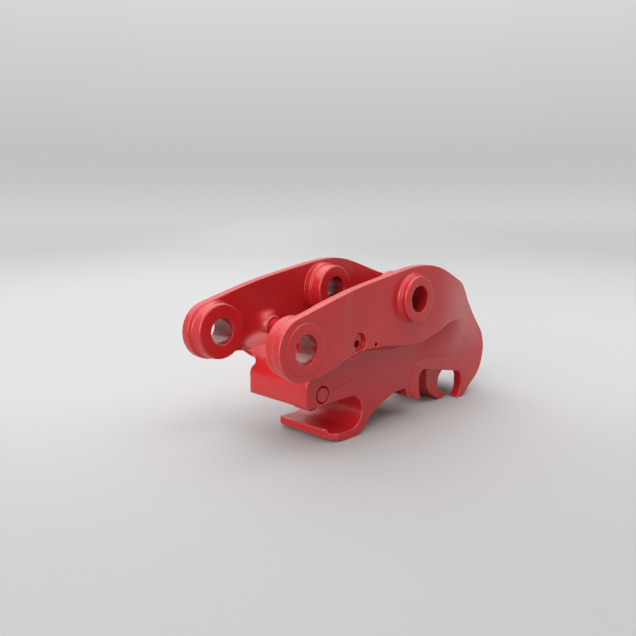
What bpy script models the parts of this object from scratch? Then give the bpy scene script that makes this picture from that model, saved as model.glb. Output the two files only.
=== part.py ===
"""Hydraulic quick hitch for an excavator of 14 to 16 tonnes.

One cast body hangs on the dipper arm's pin and the bucket link's pin. Its front jaw takes the first
bucket pin, which a sprung latch shuts in. A cylinder between the cheeks swings the rear hook onto
the second bucket pin.

Sizes are metres. X runs rearwards, Y across and Z up. Every place below is measured from the arm
pin's axis on the middle plane, and the hitch_frame empty stands that point over the ground.
"""
import math

import bmesh
import bpy
import numpy as np
from mathutils import Matrix, Vector

# Pins and the gaps that the machine's arm and link go into
PIN_D = 0.070
ARM_GAP = 0.242
LINK_GAP = 0.194
ARM = (0.0, 0.0)
LINK = (0.401, 0.075)

# Cast body
GROUND_Z = -0.290
EAR_OUTER = 0.182
EAR_T = 0.026
EAR_DISH = 0.0025
CHEEK_OUTER = 0.1085
CHEEK_T = 0.028
CHEEK_GROOVE = 0.002
LUG_R = 0.0765
LUG_FORWARD = 0.0065
OUTER_BOSS_R = 0.061
ARM_INNER_BOSS_R = 0.073
LINK_INNER_BOSS_R = 0.068
INNER_BOSS_STEP = 0.0025
ARM_BOSS_PROUD = 0.002
ARM_COLLAR_R = 0.058
LINK_BOSS_PROUD = 0.022
WEB_T = 0.028
SHELF_T = 0.018
ROOF_START = 0.660
REAR_TOP = [(0.231, 0.034), (0.286, 0.014), (0.323, -0.016), (0.348, -0.046)]
OVERHANG_SLOPE = 0.25

# Jaws for the bucket's pins
FRONT_JAW = (0.239, -0.221)
FRONT_SEAT_R = PIN_D / 2 + 0.010
REAR_JAW = (0.723, -0.232)
REAR_SEAT_R = PIN_D / 2 + 0.003
LAND_PROUD = 0.003

# Front latch, its pin and its release ram
NOSE_PIN = (0.132, -0.149)
NOSE_PIN_R = 0.019
NOSE_RING_R = 0.0232
NOSE_RING_DEPTH = 0.008
NOSE_REACH = 0.061
NOSE_CORNER_R = 0.012
NOSE_ROLL = [(0, 0.016), (0.002, 0.029), (0.008, 0.040), (0.016, 0.051), (0.021, 0.066)]
LATCH_R = 0.0265
LATCH_W = 0.063
LATCH_TAIL_T = 0.014
LATCH_TAIL_TOP = 0.038
SPRING_WIRE_R = 0.0018
SPRING_TURNS = 3
RAM_Z = -0.116
RAM_R = 0.0165
RAM_START = 0.172
RAM_PLUNGER_R = 0.006
RAM_TIP_R = 0.0035
GRUB_R = 0.005
GRUB_INSET = 0.0235

# Rear hook and its pivot pin
HOOK_PIVOT = (0.690, -0.045)
HOOK_PIN_R = 0.025
HOOK_BUSH_T = 0.006
HOOK_BOSS_R = 0.048
HOOK_PLAY = 0.0005
HOOK_ROD_PIN = (0.691, -0.125)
HOOK_SLOT_W = 0.062
HOOK_PIN_SKIN = 0.012
WASHER_T = 0.004
KEEPER_R = 0.042
KEEPER_T = 0.008
KEEPER_BOLT_R = 0.005
KEEPER_BOLT_L = 0.016

# Cylinder, measured along its own axis from the anchor pin
ANCHOR = (0.189, -0.013)
ANCHOR_PIN_R = 0.0222
ANCHOR_RECESS_R = 0.0245
ANCHOR_RECESS = 0.010
ANCHOR_LUG_R = 0.034
ANCHOR_LUG_T = 0.018
ANCHOR_MOUND = [(0.046, 0.000), (0.039, 0.004), (0.034, 0.011), (0.031, 0.020), (0.028, 0.023)]
LOCK_SCREW = (ANCHOR[0] + 0.064, ANCHOR[1] - 0.0145)
LOCK_R = 0.0057
BASE_EYE_R = 0.038
BASE_EYE_W = 0.044
BARREL_D = 0.076
BARREL_BORE = 0.060
BARREL_START = 0.046
BARREL_FLOOR = 0.120
BARREL_END = 0.352
GLAND_D = 0.084
GLAND_T = 0.018
GLAND_SPIGOT = 0.027
PISTON_W = 0.036
ROD_D = 0.040
ROD_NOSE_R = 0.012
ROD_STUD_R = 0.014
ROD_EYE_R = 0.034
ROD_EYE_PLAY = 0.0015
ROD_PIN_R = 0.0175
ROD_PIN_PLAY = 0.0028
CLIP_INSET = 0.0075
CLIP_T = 0.002
CLIP_RECESS_R = 0.027
WIPER_T = 0.008
BUSH_T = 0.004
STROKE = 0.0387

# Valve block on the barrel
BLOCK_START = 0.060
BLOCK_SIZE = (0.058, 0.044, 0.040)
PAD_T = 0.006
PIPE_R = 0.005
ROD_PORT = 0.312
BLOCK_BOLT_R = 0.003

# Clearances and facet counts
GAP = 0.0003
EMBED = 0.006
WELD = 0.000003
FLAT_ANGLE = 0.0005
ARC_STEP = 12
BORE_ROUND = 36
ROUND = 24
SMALL_ROUND = 14
SPRING_FACETS = 12

# Values that follow from the sizes above
BORE_R = PIN_D / 2
CHEEK_INNER = CHEEK_OUTER - CHEEK_T
EAR_INNER = EAR_OUTER - EAR_T
HOOK_W = 2 * (CHEEK_INNER - WASHER_T - HOOK_PLAY)
CLIP_Y = HOOK_W / 2 - CLIP_INSET
ROD_EYE_W = HOOK_SLOT_W - 2 * ROD_EYE_PLAY
GRUB_Y = CHEEK_OUTER - GRUB_INSET
BAY_FOOT = CHEEK_INNER - 0.0105
BARREL_R = BARREL_D / 2
ROD_R = ROD_D / 2
ROD_REACH = math.hypot(HOOK_ROD_PIN[0] - ANCHOR[0], HOOK_ROD_PIN[1] - ANCHOR[1])
ROD_TILT = math.atan2(ANCHOR[1] - HOOK_ROD_PIN[1], HOOK_ROD_PIN[0] - ANCHOR[0])
REAR_ROUND = (REAR_JAW[0] + 0.060, REAR_JAW[1] + 0.080)
REAR_ROUND_R = 0.1105
HITCH_X = -(REAR_ROUND[0] + REAR_ROUND_R - LUG_R - LUG_FORWARD) / 2
JAW_ROOF = FRONT_JAW[1] + FRONT_SEAT_R
PISTON_START = BARREL_END - GLAND_SPIGOT - 0.005 - PISTON_W

# Finishes: colour, roughness, metallic
CAST_RED = ((0.52, 0.030, 0.030), 0.42, 0.0)
PLAIN_STEEL = ((0.42, 0.41, 0.40), 0.38, 0.9)
BRIGHT_STEEL = ((0.70, 0.71, 0.72), 0.14, 1.0)
BLACK_STEEL = ((0.035, 0.035, 0.037), 0.45, 0.7)
ZINC = ((0.62, 0.63, 0.60), 0.34, 0.9)
BRONZE = ((0.55, 0.36, 0.14), 0.35, 1.0)
SEAL = ((0.012, 0.014, 0.018), 0.55, 0.0)


# Scene and collections

def start_scene():
    """Clears the scene and makes the collections for parts and cutters."""
    for old in list(bpy.data.objects):
        bpy.data.objects.remove(old, do_unlink=True)
    parts = bpy.data.collections.new("quick_hitch")
    cutters = bpy.data.collections.new("cutters")
    bpy.context.scene.collection.children.link(parts)
    bpy.context.scene.collection.children.link(cutters)
    return parts, cutters


PARTS, CUTTERS = start_scene()


def axis_empty(name, place, parent=None, tilt=0.0):
    """Empty on a joint's axis, at (x, z) of its parent, turned about Y by tilt."""
    empty = bpy.data.objects.new(name, None)
    empty.location = (place[0], 0, place[1])
    empty.rotation_euler = (0, tilt, 0)
    empty.parent = parent
    PARTS.objects.link(empty)
    return empty


def finished(piece, finish, parent):
    """Names the piece as a part of its own, with its own material, carried by parent."""
    colour, roughness, metallic = finish
    material = bpy.data.materials.new(piece.name + "_finish")
    material.use_nodes = True
    shader = material.node_tree.nodes["Principled BSDF"]
    shader.inputs["Base Color"].default_value = (*colour, 1)
    shader.inputs["Roughness"].default_value = roughness
    shader.inputs["Metallic"].default_value = metallic
    piece.data.materials.clear()
    piece.data.materials.append(material)
    piece.data.shade_smooth()
    piece.data.set_sharp_from_angle(angle=math.radians(30))
    piece.parent = parent
    return piece


# Outlines in the XZ plane

def arc(centre, radius, start, end, step=ARC_STEP):
    """Points from start to end degrees, anticlockwise where end is larger."""
    count = max(2, math.ceil(abs(end - start) / step))
    angles = np.radians(np.linspace(start, end, count + 1))
    return [(centre[0] + radius * math.cos(a), centre[1] + radius * math.sin(a)) for a in angles]


def rounded(corners, step=ARC_STEP):
    """Closed outline from corners of (x, z) or (x, z, radius), each radius turned into an arc."""
    outline = []
    for i, corner in enumerate(corners):
        here = Vector(corner[:2])
        if len(corner) == 2:
            outline.append(tuple(here))
            continue
        back = Vector(corners[i - 1][:2]) - here
        ahead = Vector(corners[(i + 1) % len(corners)][:2]) - here
        half = back.angle(ahead) / 2
        reach = min(corner[2] / math.tan(half), 0.49 * back.length, 0.49 * ahead.length)
        radius = reach * math.tan(half)
        centre = here + (back.normalized() + ahead.normalized()).normalized() * radius / math.sin(half)
        first = here + back.normalized() * reach - centre
        last = here + ahead.normalized() * reach - centre
        sweep = math.degrees(math.atan2(first.x * last.y - first.y * last.x, first.dot(last)))
        start = math.degrees(math.atan2(first.y, first.x))
        outline += arc(centre, radius, start, start + sweep, step)
    return outline


def flow(points, spans=4):
    """Smooth line through a few points."""
    knots = [Vector(p) for p in points]
    knots = [2 * knots[0] - knots[1]] + knots + [2 * knots[-1] - knots[-2]]
    line = []
    for a, b, c, d in zip(knots, knots[1:], knots[2:], knots[3:]):
        for t in np.arange(spans) / spans:
            line.append(tuple(0.5 * (2 * b + (c - a) * t + (2 * a - 5 * b + 4 * c - d) * t ** 2
                                     + (3 * b - a - 3 * c + d) * t ** 3)))
    return line + [tuple(knots[-2])]


def through(knots):
    """Function of x that runs smoothly through (x, value) knots and stays level outside them."""
    line = flow(knots, 6)
    xs, values = zip(*line)
    return lambda x: float(np.interp(x, xs, values))


def ramp(x, low, high):
    """Eases from 0 at low to 1 at high."""
    t = min(max((x - low) / (high - low), 0), 1)
    return t * t * (3 - 2 * t)


def about(centre, points):
    """Moves (dx, dz) or (dx, dz, radius) points to stand about a centre."""
    return [(centre[0] + p[0], centre[1] + p[1], *p[2:]) for p in points]


# Solids

def cleaned(mesh):
    """Welds the mesh, merges faces that lie in one plane and turns all faces out."""
    shape = bmesh.new()
    shape.from_mesh(mesh)
    bmesh.ops.remove_doubles(shape, verts=shape.verts, dist=WELD)
    bmesh.ops.dissolve_degenerate(shape, edges=shape.edges, dist=WELD)
    bmesh.ops.dissolve_limit(shape, angle_limit=FLAT_ANGLE, verts=shape.verts, edges=shape.edges)
    bmesh.ops.recalc_face_normals(shape, faces=shape.faces)
    shape.to_mesh(mesh)
    shape.free()
    return mesh


def as_object(name, mesh):
    """New object with a cleaned, closed mesh."""
    piece = bpy.data.objects.new(name, cleaned(mesh))
    PARTS.objects.link(piece)
    return piece


def settled(source, name, matrix=None):
    """Mesh object from a curve or an object with modifiers, which it takes the place of."""
    if source.name not in PARTS.objects:
        PARTS.objects.link(source)
    bpy.context.view_layer.update()
    mesh = bpy.data.meshes.new_from_object(source.evaluated_get(bpy.context.evaluated_depsgraph_get()))
    mesh.transform(matrix or Matrix())
    bpy.data.objects.remove(source, do_unlink=True)
    return as_object(name, mesh)


def plate(name, outline, low, high):
    """Outline in x and z, extruded across from y = low to y = high."""
    curve = bpy.data.curves.new(name, "CURVE")
    curve.dimensions = "2D"
    curve.fill_mode = "BOTH"
    curve.extrude = (high - low) / 2
    spline = curve.splines.new("POLY")
    spline.points.add(len(outline) - 1)
    for point, (x, z) in zip(spline.points, outline):
        point.co = (x, z, 0, 1)
    spline.use_cyclic_u = True
    upright = Matrix.Translation((0, (low + high) / 2, 0)) @ Matrix.Rotation(math.pi / 2, 4, "X")
    return settled(bpy.data.objects.new(name, curve), name, upright)


def prism(name, outline, low, high):
    """Outline in x and y, extruded upwards from z = low to z = high."""
    piece = plate(name, outline, low, high)
    piece.data.transform(Matrix.Rotation(-math.pi / 2, 4, "X") @ Matrix.Scale(-1, 4, (0, 1, 0)))
    piece.data.flip_normals()
    return piece


def turned(name, profile, axis="Y", place=(0, 0, 0), ring=False, steps=ROUND):
    """Profile of (radius, distance along the axis) turned about an axis through place."""
    shape = bmesh.new()
    points = [shape.verts.new((radius, 0, along)) for radius, along in profile]
    for a, b in zip(points, points[1:]):
        shape.edges.new((a, b))
    if ring:
        shape.edges.new((points[-1], points[0]))
    mesh = bpy.data.meshes.new(name)
    shape.to_mesh(mesh)
    shape.free()
    source = bpy.data.objects.new(name, mesh)
    screw = source.modifiers.new("turn", "SCREW")
    screw.steps = screw.render_steps = steps
    screw.use_merge_vertices = True
    screw.merge_threshold = 0.00001
    to_axis = {"X": Matrix.Rotation(math.pi / 2, 4, "Y"), "Y": Matrix.Rotation(-math.pi / 2, 4, "X"),
               "Z": Matrix()}[axis]
    return settled(source, name, Matrix.Translation(place) @ to_axis)


def rod_profile(radius, low, high, chamfer=0.0):
    """Solid round bar from low to high along its axis, with chamfered ends."""
    if not chamfer:
        return [(0, high), (radius, high), (radius, low), (0, low)]
    return [(0, high), (radius - chamfer, high), (radius, high - chamfer),
            (radius, low + chamfer), (radius - chamfer, low), (0, low)]


def tube_profile(outer, inner, low, high):
    """Ring section for turned(..., ring=True)."""
    return [(outer, high), (outer, low), (inner, low), (inner, high)]


def drum(name, centre, radius, low, high, chamfer=0.0, steps=ROUND):
    """Round bar across the hitch at (x, z)."""
    return turned(name, rod_profile(radius, low, high, chamfer), "Y", (centre[0], 0, centre[1]), steps=steps)


def box(name, low, high):
    """Box between two corners."""
    shape = bmesh.new()
    bmesh.ops.create_cube(shape, size=1)
    low, high = Vector(low), Vector(high)
    bmesh.ops.scale(shape, vec=high - low, verts=shape.verts)
    bmesh.ops.translate(shape, vec=(high + low) / 2, verts=shape.verts)
    mesh = bpy.data.meshes.new(name)
    shape.to_mesh(mesh)
    shape.free()
    return as_object(name, mesh)


def loft(name, sections):
    """Closed skin over sections of equal point count, each a list of (x, y, z)."""
    shape = bmesh.new()
    rings = [[shape.verts.new(point) for point in section] for section in sections]
    for near, far in zip(rings, rings[1:]):
        for i in range(len(near)):
            shape.faces.new((near[i - 1], near[i], far[i], far[i - 1]))
    shape.faces.new(rings[0])
    shape.faces.new(rings[-1])
    bmesh.ops.triangulate(shape, faces=shape.faces)
    mesh = bpy.data.meshes.new(name)
    shape.to_mesh(mesh)
    shape.free()
    return as_object(name, mesh)


def tube_along(name, points, radius):
    """Round bar that follows a list of points."""
    curve = bpy.data.curves.new(name, "CURVE")
    curve.dimensions = "3D"
    curve.bevel_depth = radius
    curve.bevel_resolution = 2
    curve.use_fill_caps = True
    spline = curve.splines.new("POLY")
    spline.points.add(len(points) - 1)
    for point, place in zip(spline.points, points):
        point.co = (*place, 1)
    return settled(bpy.data.objects.new(name, curve), name)


def boolean(target, others, operation):
    """Applies one exact Boolean for each of the other solids to target."""
    for other in others:
        modifier = target.modifiers.new(other.name, "BOOLEAN")
        modifier.operation = operation
        modifier.solver = "EXACT"
        modifier.object = other
    bpy.context.view_layer.update()
    result = bpy.data.meshes.new_from_object(target.evaluated_get(bpy.context.evaluated_depsgraph_get()))
    target.modifiers.clear()
    target.data = cleaned(result)
    return target


def cut(target, *cutters):
    """Takes the cutters away from target and keeps them as wire guides."""
    boolean(target, cutters, "DIFFERENCE")
    return stow(target, cutters)


def keep(target, *guides):
    """Keeps only what target shares with each guide."""
    boolean(target, guides, "INTERSECT")
    return stow(target, guides)


def stow(target, cutters):
    """Moves cutters to their own collection, unseen in a render."""
    for cutter in cutters:
        cutter.name = target.name + "_cut_" + cutter.name
        cutter.hide_render = True
        cutter.display_type = "WIRE"
        PARTS.objects.unlink(cutter)
        CUTTERS.objects.link(cutter)
    return target


def join(target, *pieces):
    """Unites pieces with target."""
    boolean(target, pieces, "UNION")
    for piece in pieces:
        bpy.data.objects.remove(piece, do_unlink=True)
    return target


def mirrored(piece, name=None):
    """Copy of a piece on the other side of the middle plane."""
    mesh = piece.data.copy()
    mesh.transform(Matrix.Scale(-1, 4, (0, 1, 0)))
    return as_object(name or piece.name + "_far", mesh)


def both_sides(piece):
    """The piece and its mirror image."""
    return [piece, mirrored(piece)]


# Cast body

def crown(points):
    """Points that stand about the link pin."""
    return about(LINK, points)


def body_outline():
    """Side view of the whole casting, clockwise from under the arm lug."""
    lug = arc((ARM[0] - LUG_FORWARD, ARM[1]), LUG_R, -90, -252)
    top = flow([lug[-1]] + crown([(-0.258, 0.041), (-0.107, 0.067), (0.022, 0.084), (0.119, 0.075),
                                  *REAR_TOP]))
    rear = arc(REAR_ROUND, REAR_ROUND_R, 44, -66)
    leg = GROUND_Z - REAR_JAW[1]
    rear_jaw = about(REAR_JAW, [(0.057, leg, 0.004), (0.025, leg, 0.004),
                                (0.044, -0.022, 0.030), (0.043, 0.028, 0.026), (-0.187, 0.077, 0.030),
                                (-0.186, 0.017, 0.030), (-0.177, -0.016, 0.003), (-0.203, -0.011, 0.015),
                                (-0.237, 0.006, 0.015), (-0.247, 0.029, 0.004), (-0.256, 0.031, 0.004)])
    sole = GROUND_Z - FRONT_JAW[1]
    belly = flow(about(FRONT_JAW, [(0.186, 0.018), (0.135, 0.001), (0.082, -0.025), (0.054, -0.054),
                                   (0.040, -0.0648), (0.022, sole)]))
    lip = about(FRONT_JAW, [(-0.018, sole), (-0.060, -0.061, 0.006), (-0.077, -0.055, 0.004),
                            (-0.079, -0.031, 0.003), (-0.072, -0.031, 0.002), (-0.066, -0.0435, 0.005)])
    seat = arc(FRONT_JAW, FRONT_SEAT_R, -98, 90)
    front = NOSE_PIN[0] - NOSE_REACH
    nose = [(front, JAW_ROOF, 0.014)]
    nose += flow(about((front, NOSE_PIN[1]), NOSE_ROLL), 2)
    nose += [(NOSE_PIN[0] - 0.039, -0.0635, 0.006), (0.049, -0.074)]
    return rounded(lug + top[1:] + rear + rear_jaw + belly + lip + seat + nose)


CREASE = through([(0.0, -0.078), (0.049, -0.074), (0.093, -0.062), (0.135, -0.049), (0.183, -0.038),
                  (0.229, -0.034), (0.329, -0.043), (0.401, -0.051), (0.447, -0.051), (0.492, -0.042),
                  (0.531, -0.032), (0.574, -0.020), (0.620, -0.014), (0.678, -0.019), (0.730, -0.038),
                  (0.780, -0.066), (0.850, -0.112), (0.900, -0.142)])
EAR_FACE = through([(-0.10, EAR_OUTER), (0.125, EAR_OUTER), (0.160, EAR_OUTER - EAR_DISH),
                    (0.500, EAR_OUTER - EAR_DISH), (0.560, EAR_OUTER - 0.005), (0.630, EAR_OUTER - 0.017),
                    (0.700, EAR_OUTER - 0.036), (0.770, EAR_OUTER - 0.054), (0.840, EAR_OUTER - 0.068),
                    (0.905, EAR_OUTER - 0.0735)])
EAR_BACK = through([(-0.10, EAR_INNER), (0.480, EAR_INNER), (0.560, EAR_INNER - 0.005),
                    (0.640, EAR_INNER - 0.019), (0.700, EAR_INNER - 0.034), (0.790, EAR_INNER - 0.056)])
DECK = through([(-0.10, -0.115), (0.090, -0.115), (0.108, -0.092), (0.133, -0.075), (0.158, -0.059),
                (0.178, -0.047), (0.204, -0.036), (0.250, -0.030)])
TOP_LINE = through(crown([(-0.50, 0.10), (0.119, 0.075), *REAR_TOP, (0.464, -0.160)]))


def both_halves(half):
    """Closed section from its half at y >= 0, listed from the top down."""
    return half + [(x, -y, z) for x, y, z in reversed(half)]


def body_section(x):
    """Outer section of the casting: ear, overhang and the cheek or flank below it."""
    face = EAR_FACE(x)
    foot = CHEEK_OUTER + (face - CHEEK_OUTER) * ramp(x, 0.510, 0.707)
    crease = CREASE(x) - 0.014 * (1 - ramp(x, 0.078, 0.093))
    under = crease - OVERHANG_SLOPE * (face - foot) - 0.004
    flank = min(under - 0.004, REAR_JAW[1] + 0.067)
    swell = [(x, foot + (CHEEK_OUTER - foot) * ramp(share, 0, 1), under + (flank - under) * share)
             for share in (0.25, 0.5, 0.75)]
    return both_halves([(x, face, LINK[1] + 0.15), (x, face, crease), (x, foot, under), *swell,
                        (x, CHEEK_OUTER, flank), (x, CHEEK_OUTER, GROUND_Z - 0.02)])


def throat_section(x):
    """Space between the ears: a deck in the middle, slanting webs beside it and the ears' inner faces."""
    rise = ramp(x, 0.035, 0.093)
    deck = min(DECK(x), CREASE(x) + SHELF_T - 0.008)
    web = (1 - rise) * (DECK(x) - 0.010) + rise * (CREASE(x) + SHELF_T)
    roof = TOP_LINE(x) - WEB_T if x > ROOF_START else LINK[1] + 0.16
    bottom_half = BAY_FOOT + (CHEEK_INNER + 0.004 - BAY_FOOT) * ramp(x, 0.093, 0.204)
    back = EAR_BACK(x)
    return both_halves([(x, back, max(roof, web + 0.012)), (x, back, max(web, deck + 0.001)),
                        (x, min(bottom_half, back - 0.012), deck)])


def bay():
    """Space between the cheeks for the cylinder and the hook."""
    floor = about(FRONT_JAW, [(0.001, 0.075), (0.001, 0.129, 0.004), (-0.035, 0.141, 0.004), (-0.035, 0.28)])
    outline = rounded(floor + [(0.645, 0.059), (0.645, TOP_LINE(0.645) - WEB_T, 0.010)]
                      + crown([(0.300, -0.018, 0.02), (0.368, -0.108, 0.03), (0.441, -0.196, 0.03),
                               (0.458, -0.255, 0.03), (0.458, -0.265), (0.520, -0.265), (0.520, -0.400)])
                      + about(REAR_JAW, [(-0.218, -0.080), (-0.223, 0.060, 0.004), (-0.298, 0.055)])
                      + about(FRONT_JAW, [(0.135, 0.028), (0.086, 0.014, 0.02), (0.076, 0.050, 0.02),
                                          (0.055, 0.069, 0.01), (0.001, 0.073)]))
    return plate("bay", outline, -CHEEK_INNER, CHEEK_INNER)


def jaw_land():
    """Raised band on a cheek round the rear jaw, which runs out into the flank."""
    outline = about(REAR_JAW, flow([(-0.236, 0.020), (-0.230, 0.062), (-0.217, 0.085), (-0.198, 0.100),
                                    (-0.171, 0.111), (-0.120, 0.107), (-0.044, 0.090), (0.042, 0.067)], 3)
                    + [(0.042, -0.020), (-0.170, -0.020), (-0.200, -0.015)])
    band = plate("land", outline, -LAND_PROUD, LAND_PROUD)
    start, end = REAR_JAW[0] - 0.23, REAR_JAW[0] + 0.03
    lean = math.atan2(LAND_PROUD * 1.05, end - start)
    band.data.transform(Matrix.Translation((start, 0, 0)) @ Matrix.Rotation(-lean, 4, "Z")
                        @ Matrix.Translation((-start, 0, 0)))
    band.data.transform(Matrix.Translation((0, CHEEK_OUTER, 0)))
    return band


def pin_boss(centre, face, steps):
    """Stepped boss on an ear's inner face, from the face at y = face outwards."""
    profile = [(0, EAR_INNER + EMBED)]
    for radius, low in steps:
        profile += [(radius, profile[-1][1]), (radius, low)]
    chamfer = 0.003
    profile[-1] = (steps[-1][0], face + chamfer)
    profile += [(steps[-1][0] - chamfer, face), (0, face)]
    return turned("boss", profile, "Y", (centre[0], 0, centre[1]), steps=BORE_ROUND)


def outer_boss_profile():
    """Boss on an ear's outer face at the link pin, which stands on a low round base."""
    base_r, base, chamfer = OUTER_BOSS_R + 0.005, EAR_OUTER + 0.004, 0.002
    top = EAR_OUTER + LINK_BOSS_PROUD
    return [(0, EAR_OUTER - EMBED), (base_r, EAR_OUTER - EMBED), (base_r, base - chamfer), (base_r - chamfer, base),
            (OUTER_BOSS_R, base), (OUTER_BOSS_R, top - 0.003), (OUTER_BOSS_R - 0.003, top), (0, top)]


def body_bosses():
    """Bosses that carry the arm pin, the link pin and the cylinder's anchor pin."""
    arm_r, link_r, step = ARM_INNER_BOSS_R, LINK_INNER_BOSS_R, INNER_BOSS_STEP
    arm_face, link_face = ARM_GAP / 2, LINK_GAP / 2
    arm_t, link_t = EAR_INNER - arm_face, EAR_INNER - link_face
    arm = pin_boss(ARM, arm_face, [(arm_r, arm_face + 0.69 * arm_t), (arm_r - step, arm_face + 0.57 * arm_t),
                                   (arm_r, arm_face)])
    link = pin_boss(LINK, link_face, [(link_r + 2 * step, link_face + 0.63 * link_t), (link_r, link_face)])
    foot = EAR_OUTER - EMBED
    collar = drum("collar", ARM, ARM_COLLAR_R, foot, EAR_OUTER + LINK_BOSS_PROUD, 0.003, BORE_ROUND)
    arm_ring = drum("ring", ARM, OUTER_BOSS_R, foot, EAR_OUTER + ARM_BOSS_PROUD, 0.001, BORE_ROUND)
    outer = turned("outer", outer_boss_profile(), "Y", (LINK[0], 0, LINK[1]), steps=BORE_ROUND)
    mound = [(0, EAR_INNER + EMBED), (ANCHOR_MOUND[0][0], EAR_INNER + EMBED)]
    mound += [(radius, EAR_INNER - rise) for radius, rise in ANCHOR_MOUND]
    anchor = turned("anchor", mound + [(0, mound[-1][1])], "Y", (ANCHOR[0], 0, ANCHOR[1]))
    bosses = [collar]
    for boss in (arm, link, arm_ring, outer, anchor):
        bosses += both_sides(boss)
    return bosses


def anchor_lugs():
    """Lugs on the deck that carry the anchor pin beside the cylinder's eye."""
    inner = BASE_EYE_W / 2 + 0.0015
    outline = arc(ANCHOR, ANCHOR_LUG_R, -20, 200) + about(ANCHOR, [(-0.036, -0.050), (0.030, -0.050)])
    return both_sides(plate("lug", outline, inner, inner + ANCHOR_LUG_T))


def latch_slot():
    """Slot in the nose for the latch, its tail and its springs."""
    half = LATCH_W / 2 + 0.001
    roof = NOSE_PIN[1] + LATCH_TAIL_TOP + 0.004
    outline = rounded([(NOSE_PIN[0] - 0.034, JAW_ROOF - 0.02), (NOSE_PIN[0] - 0.034, roof, 0.006),
                       (NOSE_PIN[0] + 0.036, roof, 0.004), (NOSE_PIN[0] + 0.036, NOSE_PIN[1] + 0.016),
                       (NOSE_PIN[0] + 0.094, NOSE_PIN[1] + 0.008, 0.006), (NOSE_PIN[0] + 0.094, JAW_ROOF - 0.02)])
    pocket = half + 0.016
    return [plate("latch_slot", outline, -half, half),
            drum("spring_pocket", NOSE_PIN, NOSE_PIN_R + 0.0065, -pocket, pocket)]


def lip_corner():
    """Corner taken off the front jaw's lip, seen from above."""
    x, y = FRONT_JAW[0] - 0.076, CHEEK_OUTER - 0.0245
    outline = [(x - 0.015, y - 0.0147), (x + 0.035, y + 0.0343), (x - 0.015, y + 0.0343)]
    return prism("lip_corner", outline, GROUND_Z - 0.01, FRONT_JAW[1])


def nose_corner():
    """Round off the nose's corner, seen from above."""
    x, y = NOSE_PIN[0] - NOSE_REACH, CHEEK_OUTER
    curve = arc((x + NOSE_CORNER_R, y - NOSE_CORNER_R), NOSE_CORNER_R, 180, 90, 22.5)
    outline = [(x - 0.01, curve[0][1])] + curve + [(curve[-1][0], y + 0.01), (x - 0.01, y + 0.01)]
    return prism("nose_corner", outline, JAW_ROOF - 0.01, NOSE_PIN[1] + 0.045)


def cheek_groove():
    """Fine tapering groove that runs rearwards from the nose pin."""
    outline = about(NOSE_PIN, [(0.0280, 0.0010), (0.0620, 0.0070), (0.1150, 0.0195), (0.0620, 0.0105),
                               (0.0280, 0.0050)])
    return plate("cheek_groove", outline, CHEEK_OUTER - CHEEK_GROOVE, CHEEK_OUTER + 0.01)


def pin_holes():
    """Bores for every pin, screw and ram that the casting holds."""
    wide = EAR_OUTER + 0.05
    holes = [drum("arm_bore", ARM, BORE_R, -wide, wide, steps=BORE_ROUND),
             drum("link_bore", LINK, BORE_R, -wide, wide, steps=BORE_ROUND),
             drum("anchor_bore", ANCHOR, ANCHOR_PIN_R + GAP, -wide, wide),
             drum("nose_bore", NOSE_PIN, NOSE_PIN_R + GAP, -wide, wide),
             drum("keeper_seat", HOOK_PIVOT, KEEPER_R + 0.004, keeper_face(), wide),
             drum("hook_bore", HOOK_PIVOT, HOOK_PIN_R + GAP, -CHEEK_OUTER - HOOK_PIN_SKIN, keeper_face() + EMBED),
             turned("ram_bore", rod_profile(RAM_R + GAP, NOSE_PIN[0] + 0.030, 0.250), "X", (0, 0, RAM_Z)),
             turned("grub_hole", rod_profile(GRUB_R + GAP, JAW_ROOF - 0.01, NOSE_PIN[1]), "Z",
                    (NOSE_PIN[0], GRUB_Y, 0), steps=SMALL_ROUND)]
    recess = drum("anchor_recess", ANCHOR, ANCHOR_RECESS_R, EAR_OUTER - EAR_DISH - ANCHOR_RECESS, wide)
    ring = drum("nose_ring", NOSE_PIN, NOSE_RING_R, CHEEK_OUTER - NOSE_RING_DEPTH, wide)
    lock = drum("lock_hole", LOCK_SCREW, LOCK_R + GAP, EAR_INNER + 0.004, wide, steps=SMALL_ROUND)
    for hole in (recess, ring, lock):
        holes += both_sides(hole)
    for x, z in keeper_bolt_places():
        holes.append(drum("keeper_thread", (x, z), KEEPER_BOLT_R + GAP, keeper_face() - KEEPER_BOLT_L,
                          keeper_face() + EMBED, steps=SMALL_ROUND))
    return holes


def keeper_face():
    """Y of the spot face on the far flank that the keeper plate is bolted to."""
    return EAR_OUTER - 0.049


def keeper_bolt_places():
    """Three bolts round the pivot pin."""
    return arc(HOOK_PIVOT, KEEPER_R - 0.009, 90, 330, 120)


def stations(*runs):
    """Places along x for the sections of a loft, from runs of (start, end, step)."""
    return sorted(set(np.round(np.concatenate([np.arange(*run) for run in runs]), 4)))


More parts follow.
